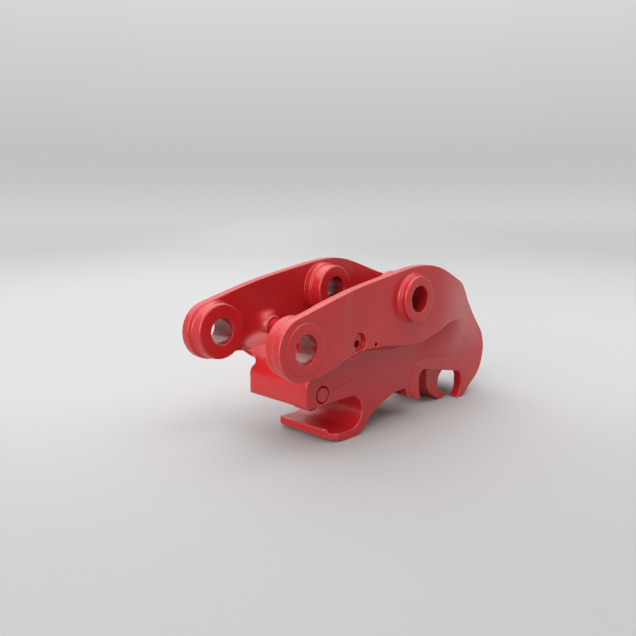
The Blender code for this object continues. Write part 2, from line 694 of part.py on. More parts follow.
def hitch_body(frame):
    """The casting."""
    xs = stations((-0.09, 0.07, 0.04), (0.074, 0.10, 0.005), (0.10, 0.52, 0.03), (0.52, 0.91, 0.013))
    body = loft("hitch_body", [body_section(x) for x in xs])
    join(body, *both_sides(jaw_land()))
    keep(body, plate("side_view", body_outline(), -EAR_OUTER - 0.05, EAR_OUTER + 0.05))
    throat_xs = stations((-0.10, 0.03, 0.06), (0.032, 0.21, 0.016), (0.24, 0.65, 0.05),
                         (ROOF_START - 0.003, ROOF_START + 0.004, 0.006), (0.68, 0.79, 0.025))
    cut(body, loft("throat", [throat_section(x) for x in throat_xs]), bay())
    join(body, *body_bosses(), *anchor_lugs())
    eye_pocket = box("eye_pocket", (ANCHOR[0] - BASE_EYE_R - 0.005, -BASE_EYE_W / 2 - 0.0015, ANCHOR[1] - 0.046),
                     (ANCHOR[0] + 0.06, BASE_EYE_W / 2 + 0.0015, ANCHOR[1] + 0.06))
    cut(body, eye_pocket, *latch_slot(), *both_sides(lip_corner()), *both_sides(nose_corner()),
        *both_sides(cheek_groove()))
    cut(body, *pin_holes())
    return finished(body, CAST_RED, frame)


# Front latch

def front_latch(axis):
    """Sprung latch that shuts the front jaw, with the tail that the ram pushes."""
    tail = LATCH_TAIL_T / 2
    boss = arc((0, 0), LATCH_R, 75, -20)
    blade = [(0.054, -0.046, 0.006), (0.058, -0.066, 0.005), (0.036, -0.069, 0.006)]
    front = arc((0, 0), LATCH_R, -150, -255)
    outline = rounded(boss + blade + front + [(-tail, LATCH_TAIL_TOP, 0.003), (tail, LATCH_TAIL_TOP, 0.003)])
    latch = plate("front_latch", outline, -LATCH_W / 2, LATCH_W / 2)
    cut(latch, drum("bore", (0, 0), NOSE_PIN_R + GAP, -LATCH_W, LATCH_W))
    return finished(latch, CAST_RED, axis)


def latch_pin(frame):
    """Pin across the nose, flush with both cheeks, with a groove for its grub screw."""
    end, groove = CHEEK_OUTER - GAP, GRUB_R + 0.001
    notch = NOSE_PIN_R - 0.0035
    profile = [(0, end), (NOSE_PIN_R - 0.001, end), (NOSE_PIN_R, end - 0.001), (NOSE_PIN_R, GRUB_Y + groove),
               (notch, GRUB_Y + groove), (notch, GRUB_Y - groove), (NOSE_PIN_R, GRUB_Y - groove),
               (NOSE_PIN_R, -end + 0.001), (NOSE_PIN_R - 0.001, -end), (0, -end)]
    pin = turned("front_latch_pin", profile, "Y", (NOSE_PIN[0], 0, NOSE_PIN[1]))
    finished(pin, CAST_RED, frame)
    grub = turned("latch_pin_grub_screw", rod_profile(GRUB_R, JAW_ROOF + 0.0005, NOSE_PIN[1] - notch - GAP, 0.0006),
                  "Z", (NOSE_PIN[0], GRUB_Y, 0), steps=SMALL_ROUND)
    cut(grub, turned("socket", rod_profile(0.0029, JAW_ROOF - 0.002, JAW_ROOF + 0.005), "Z",
                     (NOSE_PIN[0], GRUB_Y, 0), steps=6))
    finished(grub, BLACK_STEEL, frame)


def latch_springs(frame):
    """Torsion springs on the pin, one on each side of the latch."""
    coil_r = (NOSE_PIN_R + SPRING_WIRE_R + 2 * GAP) / math.cos(math.pi / SPRING_FACETS)
    pitch = 2 * SPRING_WIRE_R + 0.0005
    start = LATCH_W / 2 + SPRING_WIRE_R + GAP
    turns = np.linspace(0, 2 * math.pi * SPRING_TURNS, SPRING_FACETS * SPRING_TURNS + 1)
    path = [(NOSE_PIN[0] + coil_r * math.cos(a), start + pitch * a / (2 * math.pi),
             NOSE_PIN[1] + coil_r * math.sin(a)) for a in turns]
    coil = tube_along("latch_spring_far", path, SPRING_WIRE_R)
    finished(mirrored(coil, "latch_spring_near"), PLAIN_STEEL, frame)
    finished(coil, PLAIN_STEEL, frame)


def latch_ram(frame, plunger_axis):
    """Cartridge ram in the nose, its port adaptor, and the plunger that tips the latch up."""
    wall, flange, rear = 0.2403, 0.254, 0.276
    bore = RAM_PLUNGER_R + GAP
    profile = [(0, 0.232), (bore, 0.232), (bore, RAM_START), (RAM_R, RAM_START), (RAM_R, wall), (0.0205, wall),
               (0.0205, flange), (0.014, flange), (0.014, rear - 0.001), (0.013, rear), (0, rear)]
    body = turned("latch_ram_body", profile, "X", (0, 0, RAM_Z))
    finished(body, PLAIN_STEEL, frame)
    adaptor = port_adaptor("latch_ram_adaptor", "X", (rear + GAP, 0, RAM_Z))
    finished(adaptor, ZINC, frame)
    tip = LATCH_TAIL_T / 2 + GAP
    end = 0.222 - NOSE_PIN[0]
    plunger = turned("latch_ram_plunger", [(0, end), (RAM_PLUNGER_R - 0.001, end), (RAM_PLUNGER_R, end - 0.001),
                                           (RAM_PLUNGER_R, tip + 0.010), (RAM_TIP_R, tip + 0.002),
                                           (RAM_TIP_R - 0.001, tip), (0, tip)], "X", steps=SMALL_ROUND + 4)
    finished(plunger, BRIGHT_STEEL, plunger_axis)


def port_adaptor(name, axis, place):
    """Hexagon adaptor with a threaded nose and a blanking cap's flange."""
    hexagon = turned(name, rod_profile(0.0115, 0, 0.009, 0.001), axis, steps=6)
    nose = turned("nose", rod_profile(0.0078, 0.005, 0.022, 0.001), axis, steps=SMALL_ROUND)
    join(hexagon, nose)
    hexagon.data.transform(Matrix.Translation(place))
    return hexagon


# Rear hook

def rear_hook(axis):
    """Swinging hook that holds the rear bucket pin against the cheeks' rear legs."""
    def from_pivot(points):
        return about((-HOOK_PIVOT[0], -HOOK_PIVOT[1]), points)

    boss = arc((0, 0), HOOK_BOSS_R, -15, 190)
    front = from_pivot(about(REAR_JAW, [(-0.100, 0.062, 0.060), (-0.099, 0.004, 0.030), (-0.082, -0.022, 0.030),
                                        (-0.032, -0.0545, 0.010), (-0.010, -0.0565, 0.006),
                                        (0.008, -0.044, 0.004)]))
    seat = from_pivot(arc(REAR_JAW, REAR_SEAT_R, -100, -238))
    back = from_pivot(about(REAR_JAW, [(0.004, 0.052, 0.015), (0.021, 0.107, 0.030)]))
    hook = plate("rear_hook", rounded(boss + front + seat + back), -HOOK_W / 2, HOOK_W / 2)
    rod_pin = (HOOK_ROD_PIN[0] - HOOK_PIVOT[0], HOOK_ROD_PIN[1] - HOOK_PIVOT[1])
    slot_r = ROD_EYE_R + 0.004
    slot = rounded([(rod_pin[0] - 0.15, rod_pin[1] + slot_r), (rod_pin[0] + slot_r, rod_pin[1] + slot_r, 0.018),
                    (rod_pin[0] + slot_r, rod_pin[1] - slot_r, 0.018),
                    (rod_pin[0] - 0.15, rod_pin[1] - slot_r - 0.015)])
    cutters = [plate("rod_slot", slot, -HOOK_SLOT_W / 2, HOOK_SLOT_W / 2),
               drum("pivot_bore", (0, 0), HOOK_PIN_R + GAP + HOOK_BUSH_T + GAP, -HOOK_W, HOOK_W),
               drum("rod_pin_bore", rod_pin, ROD_PIN_R + ROD_PIN_PLAY, -HOOK_W, HOOK_W)]
    cutters += both_sides(drum("clip_recess", rod_pin, CLIP_RECESS_R, CLIP_Y - 0.0015, HOOK_W))
    cut(hook, *cutters)
    finished(hook, CAST_RED, axis)
    inner = HOOK_PIN_R + GAP
    bush = turned("hook_bush_far", tube_profile(inner + HOOK_BUSH_T, inner, HOOK_SLOT_W / 2 + 0.004,
                                                HOOK_W / 2 - HOOK_PLAY), ring=True)
    finished(mirrored(bush, "hook_bush_near"), BRONZE, axis)
    finished(bush, BRONZE, axis)
    washer = turned("thrust_washer_far", tube_profile(HOOK_BOSS_R - 0.002, inner + 0.001, HOOK_W / 2 + GAP,
                                                      HOOK_W / 2 + WASHER_T), ring=True)
    finished(mirrored(washer, "thrust_washer_near"), BRONZE, axis)
    finished(washer, BRONZE, axis)


def hook_pivot(frame):
    """Pivot pin, the plate that keeps it in, the plate's bolts and a grease nipple."""
    face = keeper_face()
    near_end = -CHEEK_OUTER - HOOK_PIN_SKIN + GAP
    finished(drum("hook_pivot_pin", HOOK_PIVOT, HOOK_PIN_R, near_end, face - GAP, 0.002), PLAIN_STEEL, frame)
    keeper = drum("pivot_keeper_plate", HOOK_PIVOT, KEEPER_R, face + GAP, face + KEEPER_T, 0.001)
    holes = [drum("hole", place, KEEPER_BOLT_R + GAP, face - 0.01, face + 0.02, steps=SMALL_ROUND)
             for place in keeper_bolt_places()]
    cut(keeper, *holes, drum("nipple_hole", HOOK_PIVOT, 0.0035 + GAP, face - 0.01, face + 0.02, steps=SMALL_ROUND))
    finished(keeper, CAST_RED, frame)
    head = face + KEEPER_T + GAP
    for number, place in enumerate(keeper_bolt_places(), 1):
        bolt = drum(f"keeper_bolt_{number}", place, KEEPER_BOLT_R, face - KEEPER_BOLT_L + 0.001, head + 0.002,
                    steps=SMALL_ROUND)
        join(bolt, drum("head", place, 0.0095, head, head + 0.0065, 0.0008, steps=6))
        finished(bolt, ZINC, frame)
    nipple = turned("grease_nipple", [(0, head + 0.012), (0.0018, head + 0.012), (0.0030, head + 0.010),
                                      (0.0022, head + 0.008), (0.0035, head + 0.006), (0.0055, head + 0.005),
                                      (0.0055, head), (0.0035, head), (0.0035, face + 0.0006),
                                      (0, face + 0.0006)], "Y", (HOOK_PIVOT[0], 0, HOOK_PIVOT[1]),
                    steps=SMALL_ROUND)
    finished(nipple, ZINC, frame)


# Cylinder, in its own frame with x along the rod

def cylinder_barrel(axis):
    """Barrel with its eye, the pad for the valve block and the boss for the rod side's port."""
    thread_r = BARREL_BORE / 2 + 0.003
    shoulder = BARREL_END - GLAND_SPIGOT
    profile = [(0, BARREL_FLOOR), (BARREL_BORE / 2, BARREL_FLOOR), (BARREL_BORE / 2, shoulder),
               (thread_r, shoulder), (thread_r, BARREL_END), (BARREL_R, BARREL_END),
               (BARREL_R, BARREL_START + 0.004), (BARREL_R - 0.004, BARREL_START), (0, BARREL_START)]
    barrel = turned("cylinder_barrel", profile, "X")
    neck_w = BASE_EYE_W - 0.006
    neck = box("neck", (0, -neck_w / 2, -BASE_EYE_R * 0.8), (BARREL_START + 0.010, neck_w / 2, BASE_EYE_R * 0.8))
    eye = drum("eye", (0, 0), BASE_EYE_R, -BASE_EYE_W / 2, BASE_EYE_W / 2, 0.002)
    length, width, _ = BLOCK_SIZE
    pad = box("pad", (BLOCK_START, -width / 2, BARREL_R - 0.016), (BLOCK_START + length, width / 2, BARREL_R + PAD_T))
    port = turned("port", rod_profile(0.010, BARREL_R - 0.006, BARREL_R + 0.008, 0.001), "Z", (ROD_PORT, 0, 0),
                  steps=SMALL_ROUND + 4)
    join(barrel, neck, eye, pad, port)
    holes = [drum("bush_bore", (0, 0), ANCHOR_PIN_R + BUSH_T + 2 * GAP, -0.1, 0.1),
             turned("port_hole", rod_profile(0.0035, BARREL_R - 0.012, 0.1), "Z", (ROD_PORT, 0, 0), steps=12)]
    holes += [turned("thread", rod_profile(BLOCK_BOLT_R + GAP, BARREL_R - 0.008, 0.1), "Z", (x, y, 0), steps=12)
              for x, y in block_bolt_places()]
    cut(barrel, *holes)
    finished(barrel, CAST_RED, axis)
    bush = turned("cylinder_base_bush", tube_profile(ANCHOR_PIN_R + GAP + BUSH_T, ANCHOR_PIN_R + GAP,
                                                     -BASE_EYE_W / 2, BASE_EYE_W / 2), ring=True)
    finished(bush, BRONZE, axis)


def block_bolt_places():
    """Four bolts near the valve block's corners."""
    length, width, _ = BLOCK_SIZE
    inset = 0.008
    return [(BLOCK_START + u, v) for u in (inset, length - inset) for v in (inset - width / 2, width / 2 - inset)]


def cylinder_gland(axis):
    """Gland screwed into the barrel's mouth, with its wiper."""
    bore = ROD_R + GAP
    end = BARREL_END + GAP + GLAND_T
    spigot = BARREL_BORE / 2 + 0.003 - GAP
    start = BARREL_END - GLAND_SPIGOT + GAP
    groove = ROD_R + 0.005
    profile = [(bore, start), (bore, end - WIPER_T), (groove, end - WIPER_T), (groove, end),
               (GLAND_D / 2 - 0.003, end), (GLAND_D / 2, end - 0.003), (GLAND_D / 2, BARREL_END + GAP),
               (spigot, BARREL_END + GAP), (spigot, start)]
    gland = turned("cylinder_gland", profile, "X", ring=True)
    slots = [turned("spanner_hole", rod_profile(0.003, end - 0.006, end + 0.01), "X",
                    (0, 0.0335 * math.cos(a), 0.0335 * math.sin(a)), steps=12)
             for a in np.radians([45, 135, 225, 315])]
    cut(gland, *slots)
    finished(gland, BLACK_STEEL, axis)
    wiper = turned("rod_wiper", [(groove - GAP, end + 0.0005), (groove - GAP, end - WIPER_T + GAP),
                                 (bore, end - WIPER_T + GAP), (bore, end + 0.002), (bore + 0.0015, end + 0.002)],
                   "X", ring=True)
    finished(wiper, SEAL, axis)


def stop_tube(axis):
    """Tube in the barrel that ends the piston's stroke."""
    low = BARREL_FLOOR + GAP
    high = PISTON_START - STROKE - 0.0005
    tube = turned("stop_tube", tube_profile(BARREL_BORE / 2 - 2 * GAP, BARREL_BORE / 2 - 0.005, low, high), "X",
                  ring=True)
    finished(tube, PLAIN_STEEL, axis)


def valve_block(axis):
    """Check valve block, bolted on the barrel, its cartridge, ports and the rod side's pipe."""
    length, width, height = BLOCK_SIZE
    low = BARREL_R + PAD_T + GAP
    block = box("check_valve_block", (BLOCK_START, -width / 2, low), (BLOCK_START + length, width / 2, low + height))
    bevel = block.modifiers.new("edges", "BEVEL")
    bevel.width = 0.002
    bevel.segments = 1
    block = settled(block, "check_valve_block")
    cut(block, *[turned("bolt_hole", rod_profile(BLOCK_BOLT_R + GAP, 0, 0.2), "Z", (x, y, 0), steps=12)
                 for x, y in block_bolt_places()])
    finished(block, ZINC, axis)
    for number, (x, y) in enumerate(block_bolt_places(), 1):
        bolt = turned(f"block_bolt_{number}", rod_profile(BLOCK_BOLT_R, low - PAD_T, low + height + 0.003), "Z",
                      (x, y, 0), steps=12)
        join(bolt, turned("head", rod_profile(0.005, low + height + GAP, low + height + 0.0065, 0.0005), "Z",
                          (x, y, 0), steps=12))
        finished(bolt, BLACK_STEEL, axis)
    middle = low + height / 2
    cartridge = turned("check_valve_cartridge", rod_profile(0.0135, 0.0, 0.010, 0.001), "X", steps=6)
    join(cartridge, turned("stem", rod_profile(0.009, -0.012, 0.004, 0.001), "X", steps=SMALL_ROUND))
    cartridge.data.transform(Matrix.Translation((BLOCK_START - 0.010 - GAP, 0, middle)))
    finished(cartridge, BLACK_STEEL, axis)
    for name, along in (("close_port_adaptor", 0.015), ("open_port_adaptor", 0.043)):
        finished(port_adaptor(name, "Y", (BLOCK_START + along, width / 2 + GAP, middle)), ZINC, axis)
    start, top = BLOCK_START + length + GAP, BARREL_R + 0.008 + GAP
    rise = low + 0.014
    bend = 0.009
    corner = arc((ROD_PORT - bend, rise - bend), bend, 90, 0, 15)
    path = [(start, 0, rise)] + [(x, 0, z) for x, z in corner] + [(ROD_PORT, 0, top)]
    finished(tube_along("rod_side_pipe", path, PIPE_R), ZINC, axis)


def rod_parts(axis):
    """Piston, nut, seals, rod, eye, bush, pin and clips, all in the cylinder's frame."""
    piston_end = PISTON_START + PISTON_W
    outer = BARREL_BORE / 2 - 2 * GAP
    groove, groove_w = outer - 0.004, 0.006
    grooves = [PISTON_START + 0.008, PISTON_START + 0.022]
    profile = [(ROD_NOSE_R + GAP, piston_end), (ROD_NOSE_R + GAP, PISTON_START), (outer, PISTON_START)]
    for low in grooves:
        profile += [(outer, low), (groove, low), (groove, low + groove_w), (outer, low + groove_w)]
    profile += [(outer, piston_end)]
    finished(turned("piston", profile[::-1], "X", ring=True), PLAIN_STEEL, axis)
    for number, low in enumerate(grooves, 1):
        seal = tube_profile(outer + 0.00025, groove + GAP, low + GAP, low + groove_w - GAP)
        finished(turned(f"piston_seal_{number}", seal, "X", ring=True), SEAL, axis)
    nut_t = 0.018
    nut = turned("piston_nut", rod_profile(0.0205, PISTON_START - GAP - nut_t, PISTON_START - GAP, 0.001), "X", steps=6)
    cut(nut, turned("thread", rod_profile(ROD_NOSE_R + GAP, 0, 1), "X"))
    finished(nut, ZINC, axis)
    eye_start = ROD_REACH - 0.052
    stud_end = eye_start + 0.014
    rod = turned("piston_rod", [(0, stud_end), (ROD_STUD_R, stud_end), (ROD_STUD_R, eye_start - GAP),
                                (ROD_R, eye_start - GAP), (ROD_R, piston_end + GAP),
                                (ROD_NOSE_R, piston_end + GAP), (ROD_NOSE_R, PISTON_START - nut_t - 0.004),
                                (0, PISTON_START - nut_t - 0.004)], "X")
    finished(rod, BRIGHT_STEEL, axis)
    eye = drum("rod_eye", (ROD_REACH, 0), ROD_EYE_R, -ROD_EYE_W / 2, ROD_EYE_W / 2, 0.002)
    join(eye, turned("neck", rod_profile(ROD_R + 0.005, eye_start, ROD_REACH - 0.010, 0.002), "X"))
    cut(eye, drum("bush_bore", (ROD_REACH, 0), ROD_PIN_R + BUSH_T + 2 * GAP, -0.1, 0.1),
        turned("socket", rod_profile(ROD_STUD_R + GAP, 0, stud_end + GAP), "X"))
    finished(eye, CAST_RED, axis)
    bush = turned("rod_eye_bush", tube_profile(ROD_PIN_R + GAP + BUSH_T, ROD_PIN_R + GAP, -ROD_EYE_W / 2,
                                               ROD_EYE_W / 2), "Y", (ROD_REACH, 0, 0), ring=True)
    finished(bush, BRONZE, axis)
    clip_r = ROD_PIN_R - 0.0015
    end = CLIP_Y + CLIP_T + 0.003
    half = [(ROD_PIN_R, CLIP_Y - GAP), (clip_r, CLIP_Y - GAP), (clip_r, CLIP_Y + CLIP_T + GAP),
            (ROD_PIN_R, CLIP_Y + CLIP_T + GAP), (ROD_PIN_R, end - 0.001), (ROD_PIN_R - 0.001, end), (0, end)]
    pin = turned("rod_end_pin", half[::-1] + [(r, -y) for r, y in half], "Y", (ROD_REACH, 0, 0))
    finished(pin, PLAIN_STEEL, axis)
    clip = turned("rod_pin_clip_far", tube_profile(ROD_PIN_R + 0.0045, clip_r + GAP, CLIP_Y, CLIP_Y + CLIP_T), "Y",
                  (ROD_REACH, 0, 0), ring=True)
    finished(mirrored(clip, "rod_pin_clip_near"), BLACK_STEEL, axis)
    finished(clip, BLACK_STEEL, axis)


def anchor_parts(frame):
    """Anchor pin, sunk below both ears, and the screws that lock it."""
    end = EAR_OUTER - EAR_DISH - ANCHOR_RECESS
    pin = drum("cylinder_anchor_pin", ANCHOR, ANCHOR_PIN_R, -end, end, 0.0015)
    drill = (ANCHOR[0], ANCHOR[1] - 0.005)
    cut(pin, *both_sides(drum("puller_thread", drill, 0.010, end - 0.030, end + 0.01, steps=SMALL_ROUND + 4)))
    finished(pin, CAST_RED, frame)
    screw = drum("anchor_lock_screw_far", LOCK_SCREW, LOCK_R, EAR_INNER + 0.004 + GAP,
                 EAR_OUTER - EAR_DISH - 0.006, 0.0006, steps=SMALL_ROUND)
    cut(screw, drum("socket", LOCK_SCREW, 0.003, EAR_OUTER - EAR_DISH - 0.011, EAR_OUTER, steps=6))
    finished(mirrored(screw, "anchor_lock_screw_near"), BLACK_STEEL, frame)
    finished(screw, BLACK_STEEL, frame)


def build():
    """Makes every piece on its own axis."""
    frame = axis_empty("hitch_frame", (HITCH_X, -GROUND_Z))
    latch_axis = axis_empty("latch_axis", NOSE_PIN, frame)
    plunger_axis = axis_empty("plunger_axis", (NOSE_PIN[0], RAM_Z), frame)
    hook_axis = axis_empty("hook_axis", HOOK_PIVOT, frame)
    barrel_axis = axis_empty("barrel_axis", ANCHOR, frame, ROD_TILT)
    rod_axis = axis_empty("rod_axis", (0, 0), barrel_axis)
    hitch_body(frame)
    front_latch(latch_axis)
    latch_pin(frame)
    latch_springs(frame)
    latch_ram(frame, plunger_axis)
    rear_hook(hook_axis)
    hook_pivot(frame)
    cylinder_barrel(barrel_axis)
    cylinder_gland(barrel_axis)
    stop_tube(barrel_axis)
    valve_block(barrel_axis)
    rod_parts(rod_axis)
    anchor_parts(frame)
    bpy.context.view_layer.update()


build()
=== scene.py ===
"""Visual model of an excavator quick hitch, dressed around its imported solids.

The castings are softened as a foundry and a fettling wheel leave them, their bored
and faced places stay true, and every loose part keeps its solid and gets broken
edges and the finish of the stock it is made from. All lengths are in metres in the
part frame, and places named "from the arm pin" are in millimetres from the middle
of the arm pin's hole.
"""
import logging
import math
from dataclasses import dataclass, field
from enum import Enum

import bmesh
import bpy
import numpy as np
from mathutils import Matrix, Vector


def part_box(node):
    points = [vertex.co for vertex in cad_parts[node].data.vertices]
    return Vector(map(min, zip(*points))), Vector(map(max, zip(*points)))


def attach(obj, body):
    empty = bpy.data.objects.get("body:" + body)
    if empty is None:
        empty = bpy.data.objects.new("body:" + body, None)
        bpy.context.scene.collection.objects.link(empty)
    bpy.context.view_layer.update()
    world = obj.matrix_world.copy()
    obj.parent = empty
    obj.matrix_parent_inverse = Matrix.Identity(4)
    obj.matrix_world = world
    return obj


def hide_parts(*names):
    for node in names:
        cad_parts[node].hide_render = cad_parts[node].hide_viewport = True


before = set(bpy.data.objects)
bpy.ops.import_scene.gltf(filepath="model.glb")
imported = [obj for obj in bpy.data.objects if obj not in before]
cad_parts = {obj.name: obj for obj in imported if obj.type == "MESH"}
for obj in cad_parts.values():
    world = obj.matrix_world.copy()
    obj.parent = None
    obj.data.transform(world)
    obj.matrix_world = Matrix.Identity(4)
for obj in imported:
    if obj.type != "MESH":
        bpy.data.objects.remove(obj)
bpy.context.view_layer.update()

log = logging.getLogger("quick_hitch")

MM = 0.001
ARM_PIN = (-0.40525, 0.290)
"""X and Z of the arm pin's hole in the part frame."""
WAVE_TURNS = 2 * math.pi / 20
"""The wave texture's period, in metres, at scale 1."""
SHARP = math.radians(40)
"""Edges that turn by more than this are broken; flatter ones are shaded round."""
FLAT = math.radians(1)
"""Facets that turn by less than this become one face."""
WELD_MM = 0.01
"""Points closer than this are one point."""
INNER_LIMIT = 0.25
"""Faces that look outward by more than this cosine are no inner faces."""
OUTER_LIMIT = 0.75
"""Faces that look outward by less than this cosine are no outer faces."""
GROOVE_STEP_MM = 2
"""How far apart a groove's line is measured."""
GROOVE_REACH_MM = 9
"""Nothing farther than this from a groove's line is pressed in."""

Place = tuple[float, float, float]
Line = tuple[tuple[float, float], ...]
Block = tuple[Place, Place]


class Slot(Enum):
    """The material slots."""

    RED_PAINT = "red_paint"
    MACHINED_STEEL = "machined_steel"
    CHROMED_ROD = "chromed_rod"
    BLACK_STEEL = "black_steel"
    ZINC_PLATED_STEEL = "zinc_plated_steel"
    BRONZE = "bronze"
    SEAL_RUBBER = "seal_rubber"


class Grain(Enum):
    """The fine relief that the making of a surface leaves on it."""

    CAST = "cast"
    TURNED = "turned"
    PLATED = "plated"


class Side(Enum):
    """Which faces of a casting's flanks a hand tool works on."""

    ALL = "all"
    INNER = "inner"
    OUTER = "outer"


def linear(code: str) -> tuple[float, float, float, float]:
    """Turn a colour into the linear values that shaders use.

    Args:
        code: The sRGB colour as "#rrggbb".

    Returns:
        Linear red, green and blue, and an alpha of 1.
    """
    channels = [int(code[i:i + 2], 16) / 255 for i in (1, 3, 5)]
    straight = [c / 12.92 if c <= 0.04045 else ((c + 0.055) / 1.055) ** 2.4 for c in channels]
    return straight[0], straight[1], straight[2], 1.0


def add_node(tree: bpy.types.NodeTree, kind: str, inputs: dict | None = None,
             **settings: object) -> bpy.types.Node:
    """Add one node with its settings and links.

    Args:
        tree: The node tree that takes the node.
        kind: The node's type name.
        inputs: Input names or numbers, each with a value or another node's output.
        **settings: The node's own properties.

    Returns:
        The new node.
    """
    node = tree.nodes.new(kind)
    for name, value in settings.items():
        setattr(node, name, value)
    for key, value in (inputs or {}).items():
        if isinstance(value, bpy.types.NodeSocket):
            tree.links.new(value, node.inputs[key])
        else:
            node.inputs[key].default_value = value
    return node


def per_metre(size_mm: float) -> float:
    """Give a texture's scale for features of that size."""
    return 1 / (size_mm * MM)


def from_arm(x: float, z: float) -> tuple[float, float]:
    """Turn X and Z in millimetres from the arm pin's hole into the part frame."""
    return ARM_PIN[0] + x * MM, ARM_PIN[1] + z * MM


@dataclass(frozen=True)
class Finish:
    """One real surface: what it is, how it was made, and its numbers.

    Patches are the slow drift of tone over a face, and the grain is the fine relief.
    """

    name: str
    slot: Slot
    colour: str
    patch_colour: str
    edge_colour: str
    metallic: float
    roughness: float
    roughness_drift: float
    patch_mm: float
    grain: Grain
    grain_mm: float
    grain_height_mm: float
    edge_share: float
    edge_from: float = 0.53
    edge_to: float = 0.62
    ior: float = 1.5

    def material(self) -> bpy.types.Material:
        """Build the material once and hand it out again after that.

        Returns:
            The node material.
        """
        known = bpy.data.materials.get(self.name)
        if known:
            return known
        made = bpy.data.materials.new(self.name)
        made.use_nodes = True
        tree = made.node_tree
        shader = tree.nodes["Principled BSDF"]
        shader.inputs["Metallic"].default_value = self.metallic
        shader.inputs["IOR"].default_value = self.ior
        place = add_node(tree, "ShaderNodeTexCoord").outputs["Object"]
        drift = add_node(tree, "ShaderNodeTexNoise",
                         {"Vector": place, "Scale": per_metre(self.patch_mm), "Detail": 5.0,
                          "Roughness": 0.6})
        share = add_node(tree, "ShaderNodeMapRange",
                         {"Value": drift.outputs["Fac"], "From Min": 0.35, "From Max": 0.65})
        body = add_node(tree, "ShaderNodeMix",
                        {0: share.outputs[0], 6: linear(self.colour), 7: linear(self.patch_colour)},
                        data_type="RGBA")
        edge = self.edge_mask(tree, drift.outputs["Fac"])
        colour = add_node(tree, "ShaderNodeMix",
                          {0: edge, 6: body.outputs[2], 7: linear(self.edge_colour)},
                          data_type="RGBA")
        tree.links.new(colour.outputs[2], shader.inputs["Base Color"])
        rough = add_node(tree, "ShaderNodeMapRange",
                         {"Value": drift.outputs["Fac"], "From Min": 0.3, "From Max": 0.7,
                          "To Min": self.roughness - self.roughness_drift,
                          "To Max": self.roughness + self.roughness_drift})
        tree.links.new(rough.outputs[0], shader.inputs["Roughness"])
        bump = add_node(tree, "ShaderNodeBump",
                        {"Height": self.relief(tree, place), "Strength": 1.0,
                         "Distance": self.grain_height_mm * MM})
        tree.links.new(bump.outputs["Normal"], shader.inputs["Normal"])
        return made

    def edge_mask(self, tree: bpy.types.NodeTree,
                  drift: bpy.types.NodeSocket) -> bpy.types.NodeSocket:
        """Find the outer edges, where paint thins or metal rubs bright, and where the paler edge
        colour is also a painted highlight.

        Args:
            tree: The material's node tree.
            drift: The slow noise, which breaks the line up.

        Returns:
            A value from 0 on a face to edge_share on an edge.
        """
        sharpness = add_node(tree, "ShaderNodeNewGeometry").outputs["Pointiness"]
        line = add_node(tree, "ShaderNodeMapRange",
                        {"Value": sharpness, "From Min": self.edge_from, "From Max": self.edge_to})
        broken = add_node(tree, "ShaderNodeMapRange",
                          {"Value": drift, "From Min": 0.3, "From Max": 0.6,
                           "To Min": 0.55 * self.edge_share, "To Max": self.edge_share})
        return add_node(tree, "ShaderNodeMath", {0: line.outputs[0], 1: broken.outputs[0]},
                        operation="MULTIPLY").outputs[0]

    def relief(self, tree: bpy.types.NodeTree,
               place: bpy.types.NodeSocket) -> bpy.types.NodeSocket:
        """Build the height pattern of the grain.

        Args:
            tree: The material's node tree.
            place: The point in the part frame.

        Returns:
            A height from 0 to 1.
        """
        if self.grain is Grain.TURNED:
            return add_node(tree, "ShaderNodeTexWave",
                            {"Vector": place, "Scale": WAVE_TURNS * per_metre(self.grain_mm),
                             "Distortion": 0.6, "Detail": 2.0},
                            bands_direction="Y").outputs["Fac"]
        return add_node(tree, "ShaderNodeTexNoise",
                        {"Vector": place, "Scale": per_metre(self.grain_mm),
                         "Detail": 4.0 if self.grain is Grain.CAST else 1.0,
                         "Roughness": 0.55}).outputs["Fac"]


# Two-pack enamel sprayed on a shot-blasted steel casting: a deep red with a soft gloss,
# the slow ripple of the sand mould under it, and paler lines over its edges: partly where
# the paint thins, partly a painted highlight of light catching the rounded edges.
CAST_ENAMEL = Finish(
    "red enamel on cast steel", Slot.RED_PAINT, "#BD2125", "#B51D21", "#F08C88",
    0.0, 0.31, 0.03, 140.0, Grain.CAST, 11.0, 0.06, 0.8, 0.515, 0.58, ior=1.55)
# The same enamel on flat plate and turned stock, which is smoother under the paint. The
# spray's orange peel is 2 mm across; it is drawn 6 mm across to show.
PLATE_ENAMEL = Finish(
    "red enamel on machined steel", Slot.RED_PAINT, "#BD2125", "#B51D21", "#F08C88",
    0.0, 0.27, 0.04, 90.0, Grain.PLATED, 6.0, 0.03, 0.0, ior=1.6)
# The same enamel run thin into the pin bores: glossy over the fine rings of the boring, and drawn a
# darker red than on the casting as painted shade inside the bores.
# Boring leaves a ring every 0.3 mm; they are drawn 2.5 mm apart to show.
BORE_ENAMEL = Finish(
    "red enamel on bored steel", Slot.RED_PAINT, "#A81B1F", "#96171B", "#D64442",
    0.0, 0.20, 0.05, 40.0, Grain.TURNED, 2.5, 0.02, 0.3, ior=1.6)
# Turned and ground alloy steel: pale grey, a close sheen and faint rings. Turning leaves
# a ring every 0.2 mm; they are drawn 2 mm apart to show.
TURNED_STEEL = Finish(
    "turned alloy steel", Slot.MACHINED_STEEL, "#A6A4A0", "#928F8B", "#C9C6C1",
    1.0, 0.32, 0.06, 30.0, Grain.TURNED, 2.0, 0.03, 0.0)
# Hard chrome ground to a mirror: the marks are far too fine to see, so only its sheen drifts.
HARD_CHROME = Finish(
    "ground hard chrome", Slot.CHROMED_ROD, "#DADBDD", "#CFD1D4", "#F0F0F0",
    1.0, 0.12, 0.03, 60.0, Grain.PLATED, 5.0, 0.005, 0.0)
